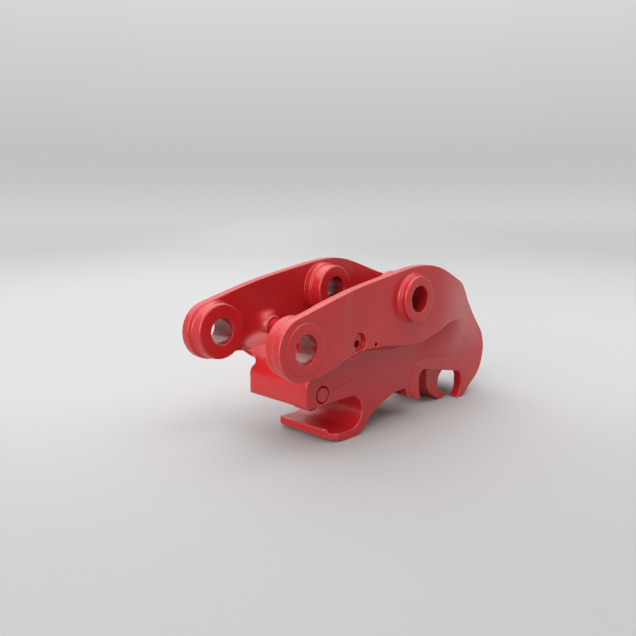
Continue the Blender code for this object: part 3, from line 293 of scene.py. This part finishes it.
# Black oxide on alloy screws: near black, a little oily, grey where it is rubbed. Its
# grain is a few hundredths of a millimetre wide; it is drawn 1.5 mm wide to show.
BLACK_OXIDE = Finish(
    "black oxide on alloy steel", Slot.BLACK_STEEL, "#35353A", "#2A2A2D", "#68686C",
    1.0, 0.42, 0.07, 12.0, Grain.PLATED, 1.5, 0.02, 0.0)
# Zinc plate with a clear passivate: pale, slightly blue, with a cloudy sheen. Its fine
# crystals are drawn 1.5 mm wide to show.
BRIGHT_ZINC = Finish(
    "zinc plate on steel", Slot.ZINC_PLATED_STEEL, "#C9CCCB", "#B8BFC3", "#E2E3E0",
    1.0, 0.54, 0.07, 10.0, Grain.PLATED, 1.5, 0.01, 0.0)
# Turned tin bronze: warm yellow brown with fine tool rings, dulled in patches. The rings
# are 0.2 mm apart; they are drawn 2 mm apart to show.
TIN_BRONZE = Finish(
    "turned tin bronze", Slot.BRONZE, "#C49A5C", "#A9834A", "#DDBB80",
    1.0, 0.34, 0.06, 18.0, Grain.TURNED, 2.0, 0.03, 0.0)
# Moulded nitrile rubber: soft black with an even matt skin, its mould's fine texture
# drawn 1.2 mm wide to show.
NITRILE = Finish(
    "moulded nitrile rubber", Slot.SEAL_RUBBER, "#1E1F22", "#262729", "#2C2D30",
    0.0, 0.62, 0.06, 15.0, Grain.PLATED, 1.2, 0.02, 0.0)


@dataclass(frozen=True)
class Bore:
    """A round machined hole along Y, in millimetres from the arm pin."""

    x: float
    z: float
    radius: float
    y_from: float
    y_to: float
    reach: float = 1.4
    rim: float = 2.6
    end_margin: float = 0.5

    def polar(self, points: np.ndarray) -> tuple[np.ndarray, np.ndarray]:
        """Measure points from the bore's axis.

        Args:
            points: Points in the part frame, one a row.

        Returns:
            Their offsets across the axis, and their distances from it.
        """
        centre = np.array(from_arm(self.x, self.z))
        offset = points[:, [0, 2]] - centre
        return offset, np.maximum(np.hypot(offset[:, 0], offset[:, 1]), 1e-9)

    def on_wall(self, points: np.ndarray, margin: float) -> np.ndarray:
        """Say which points lie on the bore's wall.

        Args:
            points: Points in the part frame, one a row.
            margin: How far inside its two ends the wall counts from, in millimetres.

        Returns:
            True for each such point.
        """
        _, distance = self.polar(points)
        along = points[:, 1] / MM
        return ((np.abs(distance / MM - self.radius) < self.reach)
                & (along > self.y_from + margin) & (along < self.y_to - margin))

    def trued(self, points: np.ndarray) -> np.ndarray:
        """Put the wall's points back on the true circle.

        Args:
            points: Points in the part frame, one a row.

        Returns:
            The points, with those on the wall moved.
        """
        offset, distance = self.polar(points)
        wall = self.on_wall(points, self.rim)
        centre = np.array(from_arm(self.x, self.z))
        points = points.copy()
        points[np.ix_(wall, [0, 2])] = centre + offset[wall] * (
            self.radius * MM / distance[wall])[:, None]
        return points


@dataclass(frozen=True)
class Groove:
    """A shallow valley along a line on the hitch's flanks, alike on both sides.

    The line's points are X and Z in millimetres from the arm pin.
    """

    line: Line
    depth: float
    half_width: float
    inner_y: float = 100.0

    def cut(self, points: np.ndarray) -> np.ndarray:
        """Press the flanks in along the line, less and less towards its two ends.

        Args:
            points: Points in the part frame, one a row.

        Returns:
            The points, with those by the line moved.
        """
        corners = np.array(self.line)
        along = np.r_[0, np.cumsum(np.hypot(*np.diff(corners, axis=0).T))]
        steps = np.linspace(0, along[-1], int(along[-1] / GROOVE_STEP_MM))
        line = np.stack([np.interp(steps, along, corners[:, k]) for k in (0, 1)], axis=1)
        taper = np.sin(np.pi * steps / along[-1]) ** 0.6
        flat = points[:, [0, 2]] / MM - np.array(ARM_PIN) / MM
        low, high = line.min(axis=0) - GROOVE_REACH_MM, line.max(axis=0) + GROOVE_REACH_MM
        near = np.flatnonzero(((flat > low) & (flat < high)).all(axis=1)
                              & (np.abs(points[:, 1]) > self.inner_y * MM))
        gap = np.hypot(flat[near, None, 0] - line[None, :, 0],
                       flat[near, None, 1] - line[None, :, 1])
        press = self.depth * taper[gap.argmin(axis=1)] * np.exp(
            -(gap.min(axis=1) / self.half_width) ** 2)
        points = points.copy()
        points[near, 1] -= np.sign(points[near, 1]) * press * MM
        return points


def ring_line(x: float, z: float, radius: float) -> Line:
    """Give the points of a ring that starts and ends at its right side."""
    angles = np.linspace(0, 2 * math.pi, 73)
    return tuple((x + radius * math.cos(a), z + radius * math.sin(a)) for a in angles)


@dataclass(frozen=True)
class Crown:
    """Metal that fills a top up to a smooth profile, in millimetres from the arm pin.

    The outline runs along the profile and comes back inside the casting.
    """

    outline: Line
    half_width: float

    def add_to(self, solid: bmesh.types.BMesh) -> None:
        """Lay the filling over the casting as a closed block of its own.

        Args:
            solid: The casting's mesh, which takes the block.
        """
        sides = []
        for y in (-self.half_width * MM, self.half_width * MM):
            corners = [from_arm(x, z) for x, z in self.outline]
            sides.append([solid.verts.new((x, y, z)) for x, z in corners])
        faces = [solid.faces.new(sides[0]), solid.faces.new(sides[1][::-1])]
        for k, near in enumerate(sides[0]):
            faces.append(solid.faces.new((sides[0][k - 1], sides[1][k - 1], sides[1][k], near)))
        bmesh.ops.recalc_face_normals(solid, faces=faces)
        bmesh.ops.triangulate(solid, faces=faces)


@dataclass(frozen=True)
class Blend:
    """A corner or a face dressed by hand, alike on both sides of the hitch.

    The corners of its block are in millimetres from the arm pin, with Y from the middle.
    Nothing changes within the spared ring, which is X, Z and a radius, nor on the faces
    that look away from the chosen side.
    """

    low: Place
    high: Place
    passes: int
    fade: float = 8.0
    spared: Place = (0.0, 0.0, 0.0)
    side: Side = Side.ALL

    def weights(self, points: np.ndarray, normals: np.ndarray) -> np.ndarray:
        """Say how much each point is dressed: not at all at the block's sides.

        Args:
            points: Points in the part frame, one a row.
            normals: The way that the surface faces at each point.

        Returns:
            Values from 0 to 1.
        """
        place = (points - (ARM_PIN[0], 0.0, ARM_PIN[1])) / MM
        place[:, 1] = np.abs(place[:, 1])
        depth = np.minimum(place - self.low, np.array(self.high) - place).min(axis=1)
        x, z, radius = self.spared
        round_it = np.hypot(place[:, 0] - x, place[:, 2] - z) - radius
        depth = np.minimum(depth, round_it) if radius else depth
        share = np.clip(depth / self.fade, 0, 1)
        outward = np.sign(points[:, 1]) * normals[:, 1]
        if self.side is Side.INNER:
            share[outward > INNER_LIMIT] = 0
        if self.side is Side.OUTER:
            share[outward < OUTER_LIMIT] = 0
        return share * share * (3 - 2 * share)

    def dressed(self, points: np.ndarray, edges: np.ndarray,
                normals: np.ndarray) -> np.ndarray:
        """Draw the points in the block towards the middle of their neighbours.

        Args:
            points: Points in the part frame, one a row.
            edges: The two ends of each edge of the mesh, one a row.
            normals: The way that the surface faces at each point.

        Returns:
            The points, with those in the block moved.
        """
        weight = self.weights(points, normals)
        near = edges[(weight[edges] > 0).any(axis=1)]
        chosen, ends = np.unique(near, return_inverse=True)
        ends = ends.reshape(near.shape)
        local, share = points[chosen], 0.5 * weight[chosen][:, None]
        count = np.bincount(ends.ravel(), minlength=len(chosen))[:, None]
        for _ in range(self.passes):
            total = np.stack([np.bincount(ends[:, 0], local[ends[:, 1], k], len(chosen))
                              + np.bincount(ends[:, 1], local[ends[:, 0], k], len(chosen))
                              for k in range(3)], axis=1)
            local += share * (total / count - local)
        points = points.copy()
        points[chosen] = local
        return points


def both_sides(bore: Bore) -> list[Bore]:
    """Give a bore and its mirror image on the other side of the hitch."""
    return [bore, Bore(bore.x, bore.z, bore.radius, -bore.y_to, -bore.y_from)]


def shaped(obj: bpy.types.Object) -> bpy.types.Mesh:
    """Give the mesh that an object's modifiers make, free of them.

    Args:
        obj: The object with its modifiers.

    Returns:
        A new mesh.
    """
    bpy.context.view_layer.update()
    graph = bpy.context.evaluated_depsgraph_get()
    return bpy.data.meshes.new_from_object(obj.evaluated_get(graph), depsgraph=graph)


@dataclass
class Casting:
    """One cast part: its solid, softened as sand moulding leaves it."""

    node: str
    body: str
    name: str
    skin: float
    passes: int
    faces: int
    bores: list[Bore] = field(default_factory=list)
    crowns: tuple[Crown, ...] = ()
    blends: tuple[Blend, ...] = ()
    grooves: tuple[Groove, ...] = ()
    finish: Finish = CAST_ENAMEL
    piece: bpy.types.Object | None = None

    def build(self) -> None:
        """Draw one even skin over the solid, round its edges and true its bores."""
        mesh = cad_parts[self.node].data.copy()
        mesh.name = self.name
        self.piece = bpy.data.objects.new(self.name, mesh)
        bpy.context.scene.collection.objects.link(self.piece)
        welded = bmesh.new()
        welded.from_mesh(mesh)
        bmesh.ops.remove_doubles(welded, verts=welded.verts, dist=WELD_MM * MM)
        for crown in self.crowns:
            crown.add_to(welded)
        welded.to_mesh(mesh)
        welded.free()
        low, high = (np.array(corner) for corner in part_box(self.node))
        skin = self.piece.modifiers.new("Skin", "REMESH")
        skin.mode = "VOXEL"
        skin.voxel_size = self.skin
        skin.use_smooth_shade = True
        fettle = self.piece.modifiers.new("Fettle", "SMOOTH")
        fettle.factor = 0.5
        fettle.iterations = self.passes
        self.take(shaped(self.piece))
        points = np.zeros(len(self.piece.data.vertices) * 3)
        self.piece.data.vertices.foreach_get("co", points)
        points = points.reshape(-1, 3)
        edges = np.zeros(len(self.piece.data.edges) * 2, np.int32)
        self.piece.data.edges.foreach_get("vertices", edges)
        normals = np.zeros(len(self.piece.data.vertices) * 3, np.float32)
        self.piece.data.vertex_normals.foreach_get("vector", normals)
        for blend in self.blends:
            points = blend.dressed(points, edges.reshape(-1, 2), normals.reshape(-1, 3))
        for groove in self.grooves:
            points = groove.cut(points)
        for bore in self.bores:
            points = bore.trued(points)
        points = np.clip(points, low, high)
        self.piece.data.vertices.foreach_set("co", points.ravel())
        self.piece.data.update()
        thin = self.piece.modifiers.new("Thin", "DECIMATE")
        thin.ratio = min(1.0, self.faces / (2 * len(self.piece.data.polygons)))
        self.take(shaped(self.piece))
        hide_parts(self.node)
        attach(self.piece, self.body)
        log.info("%s: %d faces", self.name, len(self.piece.data.polygons))

    def take(self, mesh: bpy.types.Mesh) -> None:
        """Give the piece a finished mesh and drop its modifiers.

        Args:
            mesh: The mesh that the modifiers made.
        """
        self.piece.modifiers.clear()
        self.piece.data = mesh
        mesh.name = self.name

    def dress(self) -> None:
        """Paint the casting, with a thinner and glossier coat in its pin bores, drawn darker there
        as painted shade.
        """
        mesh = self.piece.data
        mesh.materials.clear()
        mesh.materials.append(self.finish.material())
        mesh.materials.append(BORE_ENAMEL.material())
        middles = np.zeros(len(mesh.polygons) * 3)
        mesh.polygons.foreach_get("center", middles)
        middles = middles.reshape(-1, 3)
        bored = np.zeros(len(middles), bool)
        for bore in self.bores:
            bored |= bore.on_wall(middles, bore.end_margin)
        mesh.polygons.foreach_set("material_index", bored.astype(np.int32))
        mesh.polygons.foreach_set("use_smooth", np.ones(len(middles), bool))
        mesh.update()


def shading_tree() -> bpy.types.NodeTree:
    """Give the geometry nodes that join a solid's facets and shade them round.

    Returns:
        The shared node tree.
    """
    name = "Joined facets"
    known = bpy.data.node_groups.get(name)
    if known:
        return known
    tree = bpy.data.node_groups.new(name, "GeometryNodeTree")
    tree.interface.new_socket("Geometry", in_out="INPUT", socket_type="NodeSocketGeometry")
    tree.interface.new_socket("Geometry", in_out="OUTPUT", socket_type="NodeSocketGeometry")
    start = add_node(tree, "NodeGroupInput")
    plain = add_node(tree, "GeometryNodeRemoveAttribute",
                     {"Geometry": start.outputs[0], "Name": "custom_normal"})
    joined = add_node(tree, "GeometryNodeMergeByDistance",
                      {"Geometry": plain.outputs[0], "Distance": WELD_MM * MM})
    smooth = add_node(tree, "GeometryNodeSetShadeSmooth", {"Geometry": joined.outputs[0]})
    add_node(tree, "NodeGroupOutput", {0: smooth.outputs[0]})
    return tree


@dataclass
class SubAssembly:
    """A group of parts that are fitted together: castings, and solids that stay."""

    castings: list[Casting] = field(default_factory=list)
    stock: dict[str, Finish] = field(default_factory=dict)
    edge_mm: float = 0.6

    def build(self) -> None:
        """Build the castings and break the edges of the parts that keep their solids."""
        for casting in self.castings:
            casting.build()
        for node in self.stock:
            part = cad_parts[node]
            joined = part.modifiers.new("Joined", "NODES")
            joined.node_group = shading_tree()
            flat = part.modifiers.new("Flat", "DECIMATE")
            flat.decimate_type = "DISSOLVE"
            flat.angle_limit = FLAT
            edges = part.modifiers.new("Edges", "BEVEL")
            edges.width = self.edge_mm * MM
            edges.segments = 2
            edges.limit_method = "ANGLE"
            edges.angle_limit = SHARP
            part.modifiers.new("Normals", "WEIGHTED_NORMAL").keep_sharp = True

    def dress(self) -> None:
        """Give every part its finish."""
        for casting in self.castings:
            casting.dress()
        for node, finish in self.stock.items():
            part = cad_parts[node]
            part.data.materials.clear()
            part.data.materials.append(finish.material())
            log.info("%s: %s", node, finish.name)


@dataclass
class CastBody(SubAssembly):
    """The hitch's body: ears, deck, nose, cheeks and both jaws in one casting."""

    skin_mm: float = 1.6
    passes: int = 8
    faces: int = 190000
    pin_radius: float = 35.0
    arm_faces: tuple[float, float] = (-184.0, -121.0)
    far_collar_end: float = 204.0
    link_faces: tuple[float, float] = (-204.0, -97.0)
    link_pin: tuple[float, float] = (401.0, 75.0)
    nose_top: Block = ((60.0, -10.0, -150.0), (100.0, 106.0, -60.0))
    nose_profile: Line = ((72.5, -128.0), (75.0, -116.0), (83.0, -104.0), (95.0, -93.0),
                          (108.0, -83.0), (125.0, -75.0), (142.0, -66.0), (160.0, -56.5),
                          (176.0, -47.5))
    nose_back: Line = ((176.0, -58.0), (150.0, -75.0), (120.0, -95.0), (104.0, -104.0),
                       (97.0, -104.0), (96.0, -128.0), (84.0, -134.0))
    nose_half_width: float = 102.0
    deck_front: Block = ((84.0, -10.0, -104.0), (162.0, 118.0, -10.0))
    web_fillet: Block = ((84.0, 96.0, -112.0), (178.0, 168.0, 30.0))
    ear_rear: Block = ((470.0, 60.0, -90.0), (800.0, 190.0, 230.0))
    lug_steps: Block = ((-95.0, 118.0, -95.0), (75.0, 181.0, 95.0))
    lug_ring: Place = (0.0, 0.0, 52.0)
    ring_radius: float = 63.0
    crease: Line = ((70.0, -72.0), (93.0, -65.0), (135.0, -52.0), (183.0, -41.5),
                    (229.0, -37.5), (280.0, -40.0), (329.0, -46.0), (365.0, -51.0),
                    (401.0, -54.0), (447.0, -54.0), (492.0, -45.0))
    cheek_line: Line = ((158.0, -146.5), (194.0, -140.5), (222.0, -135.0), (250.0, -129.0))
    jaw_bead: Line = ((493.1, -208.9), (494.2, -186.1), (497.4, -170.9), (504.4, -152.3),
                      (515.9, -138.6), (530.6, -129.0), (549.7, -124.2), (568.2, -124.1),
                      (593.8, -126.9), (641.2, -135.2), (690.3, -144.8))
    anchor_flare: Block = ((125.0, 126.0, -80.0), (255.0, 160.0, 50.0))
    anchor_pin: Place = (189.0, -13.0, 27.0)

    def __post_init__(self) -> None:
        """Place the bores and hand the body's casting over."""
        bores = [Bore(0.0, 0.0, self.pin_radius, *self.arm_faces),
                 Bore(0.0, 0.0, self.pin_radius, -self.arm_faces[1], self.far_collar_end)]
        bores += both_sides(Bore(*self.link_pin, self.pin_radius, *self.link_faces))
        blends = (Blend(*self.nose_top, passes=200), Blend(*self.deck_front, passes=320),
                  Blend(*self.web_fillet, passes=500, fade=12.0, spared=self.anchor_pin,
                        side=Side.INNER),
                  Blend(*self.ear_rear, passes=400, fade=14.0, side=Side.OUTER),
                  Blend(*self.anchor_flare, passes=60, spared=self.anchor_pin),
                  Blend(*self.lug_steps, passes=26, spared=self.lug_ring))
        crown = Crown(self.nose_profile + self.nose_back, half_width=self.nose_half_width)
        grooves = (Groove(self.crease, depth=4.5, half_width=3.4, inner_y=90.0),
                   Groove(self.cheek_line, depth=2.4, half_width=1.9),
                   Groove(self.jaw_bead, depth=3.0, half_width=2.6),
                   Groove(ring_line(0.0, 0.0, self.ring_radius), depth=1.6, half_width=1.9,
                          inner_y=150.0))
        self.castings = [Casting("hitch_body", "root", "cast_body", self.skin_mm * MM,
                                 self.passes, self.faces, bores, (crown,), blends, grooves)]


@dataclass
class NoseLatch(SubAssembly):
    """The sprung latch of the front jaw, its pin, its springs and its little ram."""

    skin_mm: float = 1.4
    passes: int = 4
    faces: int = 30000
    edge_mm: float = 0.5

    def __post_init__(self) -> None:
        """Hand the latch's casting over and name the stock of the rest."""
        self.castings = [Casting("front_latch", "latch", "latch_casting", self.skin_mm * MM,
                                 self.passes, self.faces)]
        self.stock = {
            "front_latch_pin": PLATE_ENAMEL, "latch_pin_grub_screw": BLACK_OXIDE,
            "latch_spring_far": TURNED_STEEL, "latch_spring_near": TURNED_STEEL,
            "latch_ram_body": TURNED_STEEL, "latch_ram_adaptor": BRIGHT_ZINC,
            "latch_ram_plunger": HARD_CHROME}


@dataclass
class RearHook(SubAssembly):
    """The swinging hook of the rear jaw, with its bushes, washers and pivot."""

    skin_mm: float = 1.9
    passes: int = 6
    faces: int = 90000
    edge_mm: float = 0.7

    def __post_init__(self) -> None:
        """Hand the hook's casting over and name the stock of the pivot."""
        self.castings = [Casting("rear_hook", "hook", "hook_casting", self.skin_mm * MM,
                                 self.passes, self.faces)]
        self.stock = {
            "hook_bush_far": TIN_BRONZE, "hook_bush_near": TIN_BRONZE,
            "thrust_washer_far": TIN_BRONZE, "thrust_washer_near": TIN_BRONZE,
            "hook_pivot_pin": TURNED_STEEL, "pivot_keeper_plate": PLATE_ENAMEL,
            "keeper_bolt_1": BRIGHT_ZINC, "keeper_bolt_2": BRIGHT_ZINC,
            "keeper_bolt_3": BRIGHT_ZINC, "grease_nipple": BRIGHT_ZINC}


@dataclass
class HookCylinder(SubAssembly):
    """The cylinder that swings the hook, with its anchor pin, rod and seals."""

    edge_mm: float = 0.6

    def __post_init__(self) -> None:
        """Name the stock of each part."""
        self.stock = {
            "cylinder_anchor_pin": PLATE_ENAMEL, "anchor_lock_screw_far": BLACK_OXIDE,
            "anchor_lock_screw_near": BLACK_OXIDE, "cylinder_barrel": PLATE_ENAMEL,
            "cylinder_base_bush": TIN_BRONZE, "cylinder_gland": BLACK_OXIDE,
            "rod_wiper": NITRILE, "stop_tube": TURNED_STEEL, "piston": TURNED_STEEL,
            "piston_seal_1": NITRILE, "piston_seal_2": NITRILE, "piston_nut": BRIGHT_ZINC,
            "piston_rod": HARD_CHROME, "rod_eye": PLATE_ENAMEL, "rod_eye_bush": TIN_BRONZE,
            "rod_end_pin": TURNED_STEEL, "rod_pin_clip_far": BLACK_OXIDE,
            "rod_pin_clip_near": BLACK_OXIDE}


@dataclass
class CheckValve(SubAssembly):
    """The pilot check valve block on the cylinder, with its bolts, ports and pipe."""

    edge_mm: float = 0.5

    def __post_init__(self) -> None:
        """Name the stock of each part."""
        self.stock = {
            "check_valve_block": BRIGHT_ZINC, "block_bolt_1": BLACK_OXIDE,
            "block_bolt_2": BLACK_OXIDE, "block_bolt_3": BLACK_OXIDE,
            "block_bolt_4": BLACK_OXIDE, "check_valve_cartridge": BLACK_OXIDE,
            "close_port_adaptor": BRIGHT_ZINC, "open_port_adaptor": BRIGHT_ZINC,
            "rod_side_pipe": BRIGHT_ZINC}


@dataclass
class Studio:
    """A pale floor with a painted pool of light that fades into a grey backdrop, wide soft lamps
    and the camera.
    """

    floor_radius: float = 60.0
    floor_rings: int = 48
    floor_sides: int = 96
    fade_from: float = 6.0
    fade_to: float = 26.0
    floor_colour: str = "#C0BFBF"
    floor_way: Place = (0.717, 0.697, 0.0)
    floor_side: Place = (0.697, -0.717, 0.0)
    lens_mm: float = 38.49
    sensor_mm: float = 36.0
    camera_place: Place = (-1.45945, -1.2429, 0.6281)
    camera_way: Place = (0.7063, 0.6861, -0.1745)
    bright_side: Place = (0.10, -0.92, 0.39)
    bright_light: float = 0.30
    dim_light: float = 0.18
    backdrop_foot: float = -0.06
    backdrop_top: float = 0.26
    backdrop: tuple[tuple[float, str], ...] = (
        (0.0, "#D5D5D5"), (0.1, "#D1D1D1"), (0.19, "#CACACA"), (0.26, "#C4C4C4"),
        (0.32, "#C2C2C2"), (0.4, "#C2C2C2"), (0.56, "#C8C8C8"), (0.77, "#CFCFCF"),
        (1.0, "#D8D8D8"))
    lamps: tuple[tuple[str, Place, float, float], ...] = (
        ("top_light", (0.05, 0.22, 0.97), 96.0, 2.7),
        ("front_light", (0.15, -0.62, 0.77), 50.0, 0.6),
        ("nose_light", (-0.92, -0.12, 0.38), 46.0, 2.1))

    def build(self) -> None:
        """Set the floor, the lamps, the sky and the camera up."""
        self.floor()
        for name, side, spread, strength in self.lamps:
            self.lamp(name, side, spread, strength)
        self.sky()
        self.camera()
        bpy.context.scene.view_settings.view_transform = "Standard"

    def floor(self) -> None:
        """Lay a round floor, its rings close together near the hitch."""
        mesh = bpy.data.meshes.new("studio_floor")
        ground = bmesh.new()
        middle = ground.verts.new((0, 0, 0))
        rings = []
        for i in range(1, self.floor_rings + 1):
            radius = self.floor_radius * (i / self.floor_rings) ** 3
            rings.append([ground.verts.new((radius * math.cos(2 * math.pi * k / self.floor_sides),
                                            radius * math.sin(2 * math.pi * k / self.floor_sides),
                                            0)) for k in range(self.floor_sides)])
        for k in range(self.floor_sides):
            after = (k + 1) % self.floor_sides
            ground.faces.new((middle, rings[0][k], rings[0][after]))
            for inner, outer in zip(rings, rings[1:]):
                ground.faces.new((inner[k], outer[k], outer[after], inner[after]))
        ground.to_mesh(mesh)
        ground.free()
        floor = bpy.data.objects.new("studio_floor", mesh)
        bpy.context.scene.collection.objects.link(floor)
        self.paint_floor(mesh)

    def paint_floor(self, mesh: bpy.types.Mesh) -> None:
        """Give the floor matt pale paper with a painted pool of light on it, brightest just behind
        the hitch, and clear far off.

        Args:
            mesh: The floor's mesh.
        """
        paper = bpy.data.materials.new("matt studio paper")
        paper.use_nodes = True
        tree = paper.node_tree
        shader = tree.nodes["Principled BSDF"]
        shader.inputs["Roughness"].default_value = 0.9
        shader.inputs["Specular IOR Level"].default_value = 0.1
        place = add_node(tree, "ShaderNodeTexCoord").outputs["Object"]
        away = add_node(tree, "ShaderNodeVectorMath", {0: place, 1: self.floor_way},
                        operation="DOT_PRODUCT").outputs["Value"]
        across = add_node(tree, "ShaderNodeVectorMath", {0: place, 1: self.floor_side},
                          operation="DOT_PRODUCT").outputs["Value"]
        # Each step has its way, where it starts and ends in metres, and the tone at each; together
        # they paint a pool of light on the floor, brightest just behind the hitch and darker toward
        # the camera, the sides and far away.
        steps = ((away, -1.1, 0.7, 0.78, 1.0), (away, 0.9, 7.0, 1.0, 0.82),
                 (across, -0.9, 0.9, 1.04, 0.95), (across, -3.6, -1.2, 0.89, 1.0),
                 (across, 1.2, 3.6, 1.0, 0.93))
        tone = None
        for reading, start, end, low, high in steps:
            step = add_node(tree, "ShaderNodeMapRange",
                            {"Value": reading, "From Min": start, "From Max": end,
                             "To Min": low, "To Max": high},
                            interpolation_type="SMOOTHSTEP").outputs[0]
            tone = step if tone is None else add_node(
                tree, "ShaderNodeMath", {0: tone, 1: step}, operation="MULTIPLY").outputs[0]
        colour = add_node(tree, "ShaderNodeMix",
                          {0: tone, 6: linear("#000000"), 7: linear(self.floor_colour)},
                          data_type="RGBA")
        tree.links.new(colour.outputs[2], shader.inputs["Base Color"])
        distance = add_node(tree, "ShaderNodeVectorMath", {0: place}, operation="LENGTH")
        gone = add_node(tree, "ShaderNodeMapRange",
                        {"Value": distance.outputs["Value"], "From Min": self.fade_from,
                         "From Max": self.fade_to}, interpolation_type="SMOOTHSTEP")
        clear = add_node(tree, "ShaderNodeBsdfTransparent")
        faded = add_node(tree, "ShaderNodeMixShader",
                         {0: gone.outputs[0], 1: shader.outputs[0], 2: clear.outputs[0]})
        tree.links.new(faded.outputs[0], tree.nodes["Material Output"].inputs["Surface"])
        mesh.materials.append(paper)

    def lamp(self, name: str, side: Place, spread: float, strength: float) -> None:
        """Shine a wide soft light from far away, so that it falls evenly on the floor.

        Args:
            name: The lamp's name.
            side: The way from the hitch towards it.
            spread: How wide it looks from the hitch, in degrees.
            strength: Its light on a face turned to it.
        """
        data = bpy.data.lights.new(name, "SUN")
        data.energy = strength
        data.angle = math.radians(spread)
        lamp = bpy.data.objects.new(name, data)
        lamp.location = 3 * Vector(side)
        lamp.rotation_euler = (-Vector(side)).to_track_quat("-Z", "Y").to_euler()
        bpy.context.scene.collection.objects.link(lamp)

    def sky(self) -> None:
        """Light the hitch evenly all round, behind a pale grey backdrop."""
        world = bpy.data.worlds.new("studio")
        bpy.context.scene.world = world
        world.use_nodes = True
        tree = world.node_tree
        tree.nodes.clear()
        way = add_node(tree, "ShaderNodeTexCoord").outputs["Generated"]
        height = add_node(tree, "ShaderNodeSeparateXYZ", {0: way}).outputs["Z"]
        share = add_node(tree, "ShaderNodeMapRange",
                         {"Value": height, "From Min": self.backdrop_foot,
                          "From Max": self.backdrop_top})
        ramp = add_node(tree, "ShaderNodeValToRGB", {0: share.outputs[0]})
        for position, _ in self.backdrop[1:-1]:
            ramp.color_ramp.elements.new(position)
        for element, (position, code) in zip(ramp.color_ramp.elements, self.backdrop):
            element.position, element.color = position, linear(code)
        seen = add_node(tree, "ShaderNodeBackground", {"Color": ramp.outputs[0], "Strength": 1.0})
        toward = add_node(tree, "ShaderNodeVectorMath", {0: way, 1: self.bright_side},
                          operation="DOT_PRODUCT").outputs["Value"]
        level = add_node(tree, "ShaderNodeMapRange",
                         {"Value": toward, "From Min": -0.9, "From Max": 0.9,
                          "To Min": self.dim_light, "To Max": self.bright_light},
                         interpolation_type="SMOOTHSTEP")
        light = add_node(tree, "ShaderNodeBackground",
                         {"Color": linear("#FFFFFF"), "Strength": level.outputs[0]})
        ray = add_node(tree, "ShaderNodeLightPath")
        backdrop = add_node(tree, "ShaderNodeMath", {0: ray.outputs["Is Camera Ray"],
                                                     1: ray.outputs["Is Glossy Ray"]},
                            operation="MAXIMUM")
        both = add_node(tree, "ShaderNodeMixShader",
                        {0: backdrop.outputs[0], 1: light.outputs[0], 2: seen.outputs[0]})
        add_node(tree, "ShaderNodeOutputWorld", {"Surface": both.outputs[0]})

    def camera(self) -> None:
        """Stand the camera where the photograph was taken from."""
        data = bpy.data.cameras.new("photo_camera")
        data.lens = self.lens_mm
        data.sensor_width = self.sensor_mm
        data.clip_end = 2 * self.floor_radius
        camera = bpy.data.objects.new("photo_camera", data)
        camera.location = self.camera_place
        camera.rotation_euler = Vector(self.camera_way).to_track_quat("-Z", "Y").to_euler()
        bpy.context.scene.collection.objects.link(camera)
        bpy.context.scene.camera = camera


def main() -> None:
    """Build and dress the hitch, one sub-assembly after another."""
    logging.basicConfig(level=logging.INFO, format="%(name)s: %(message)s")
    Studio().build()
    for group in (CastBody(), NoseLatch(), RearHook(), HookCylinder(), CheckValve()):
        group.build()
        group.dress()
        log.info("%s is ready", type(group).__name__)


if __name__ == "__main__":
    main()
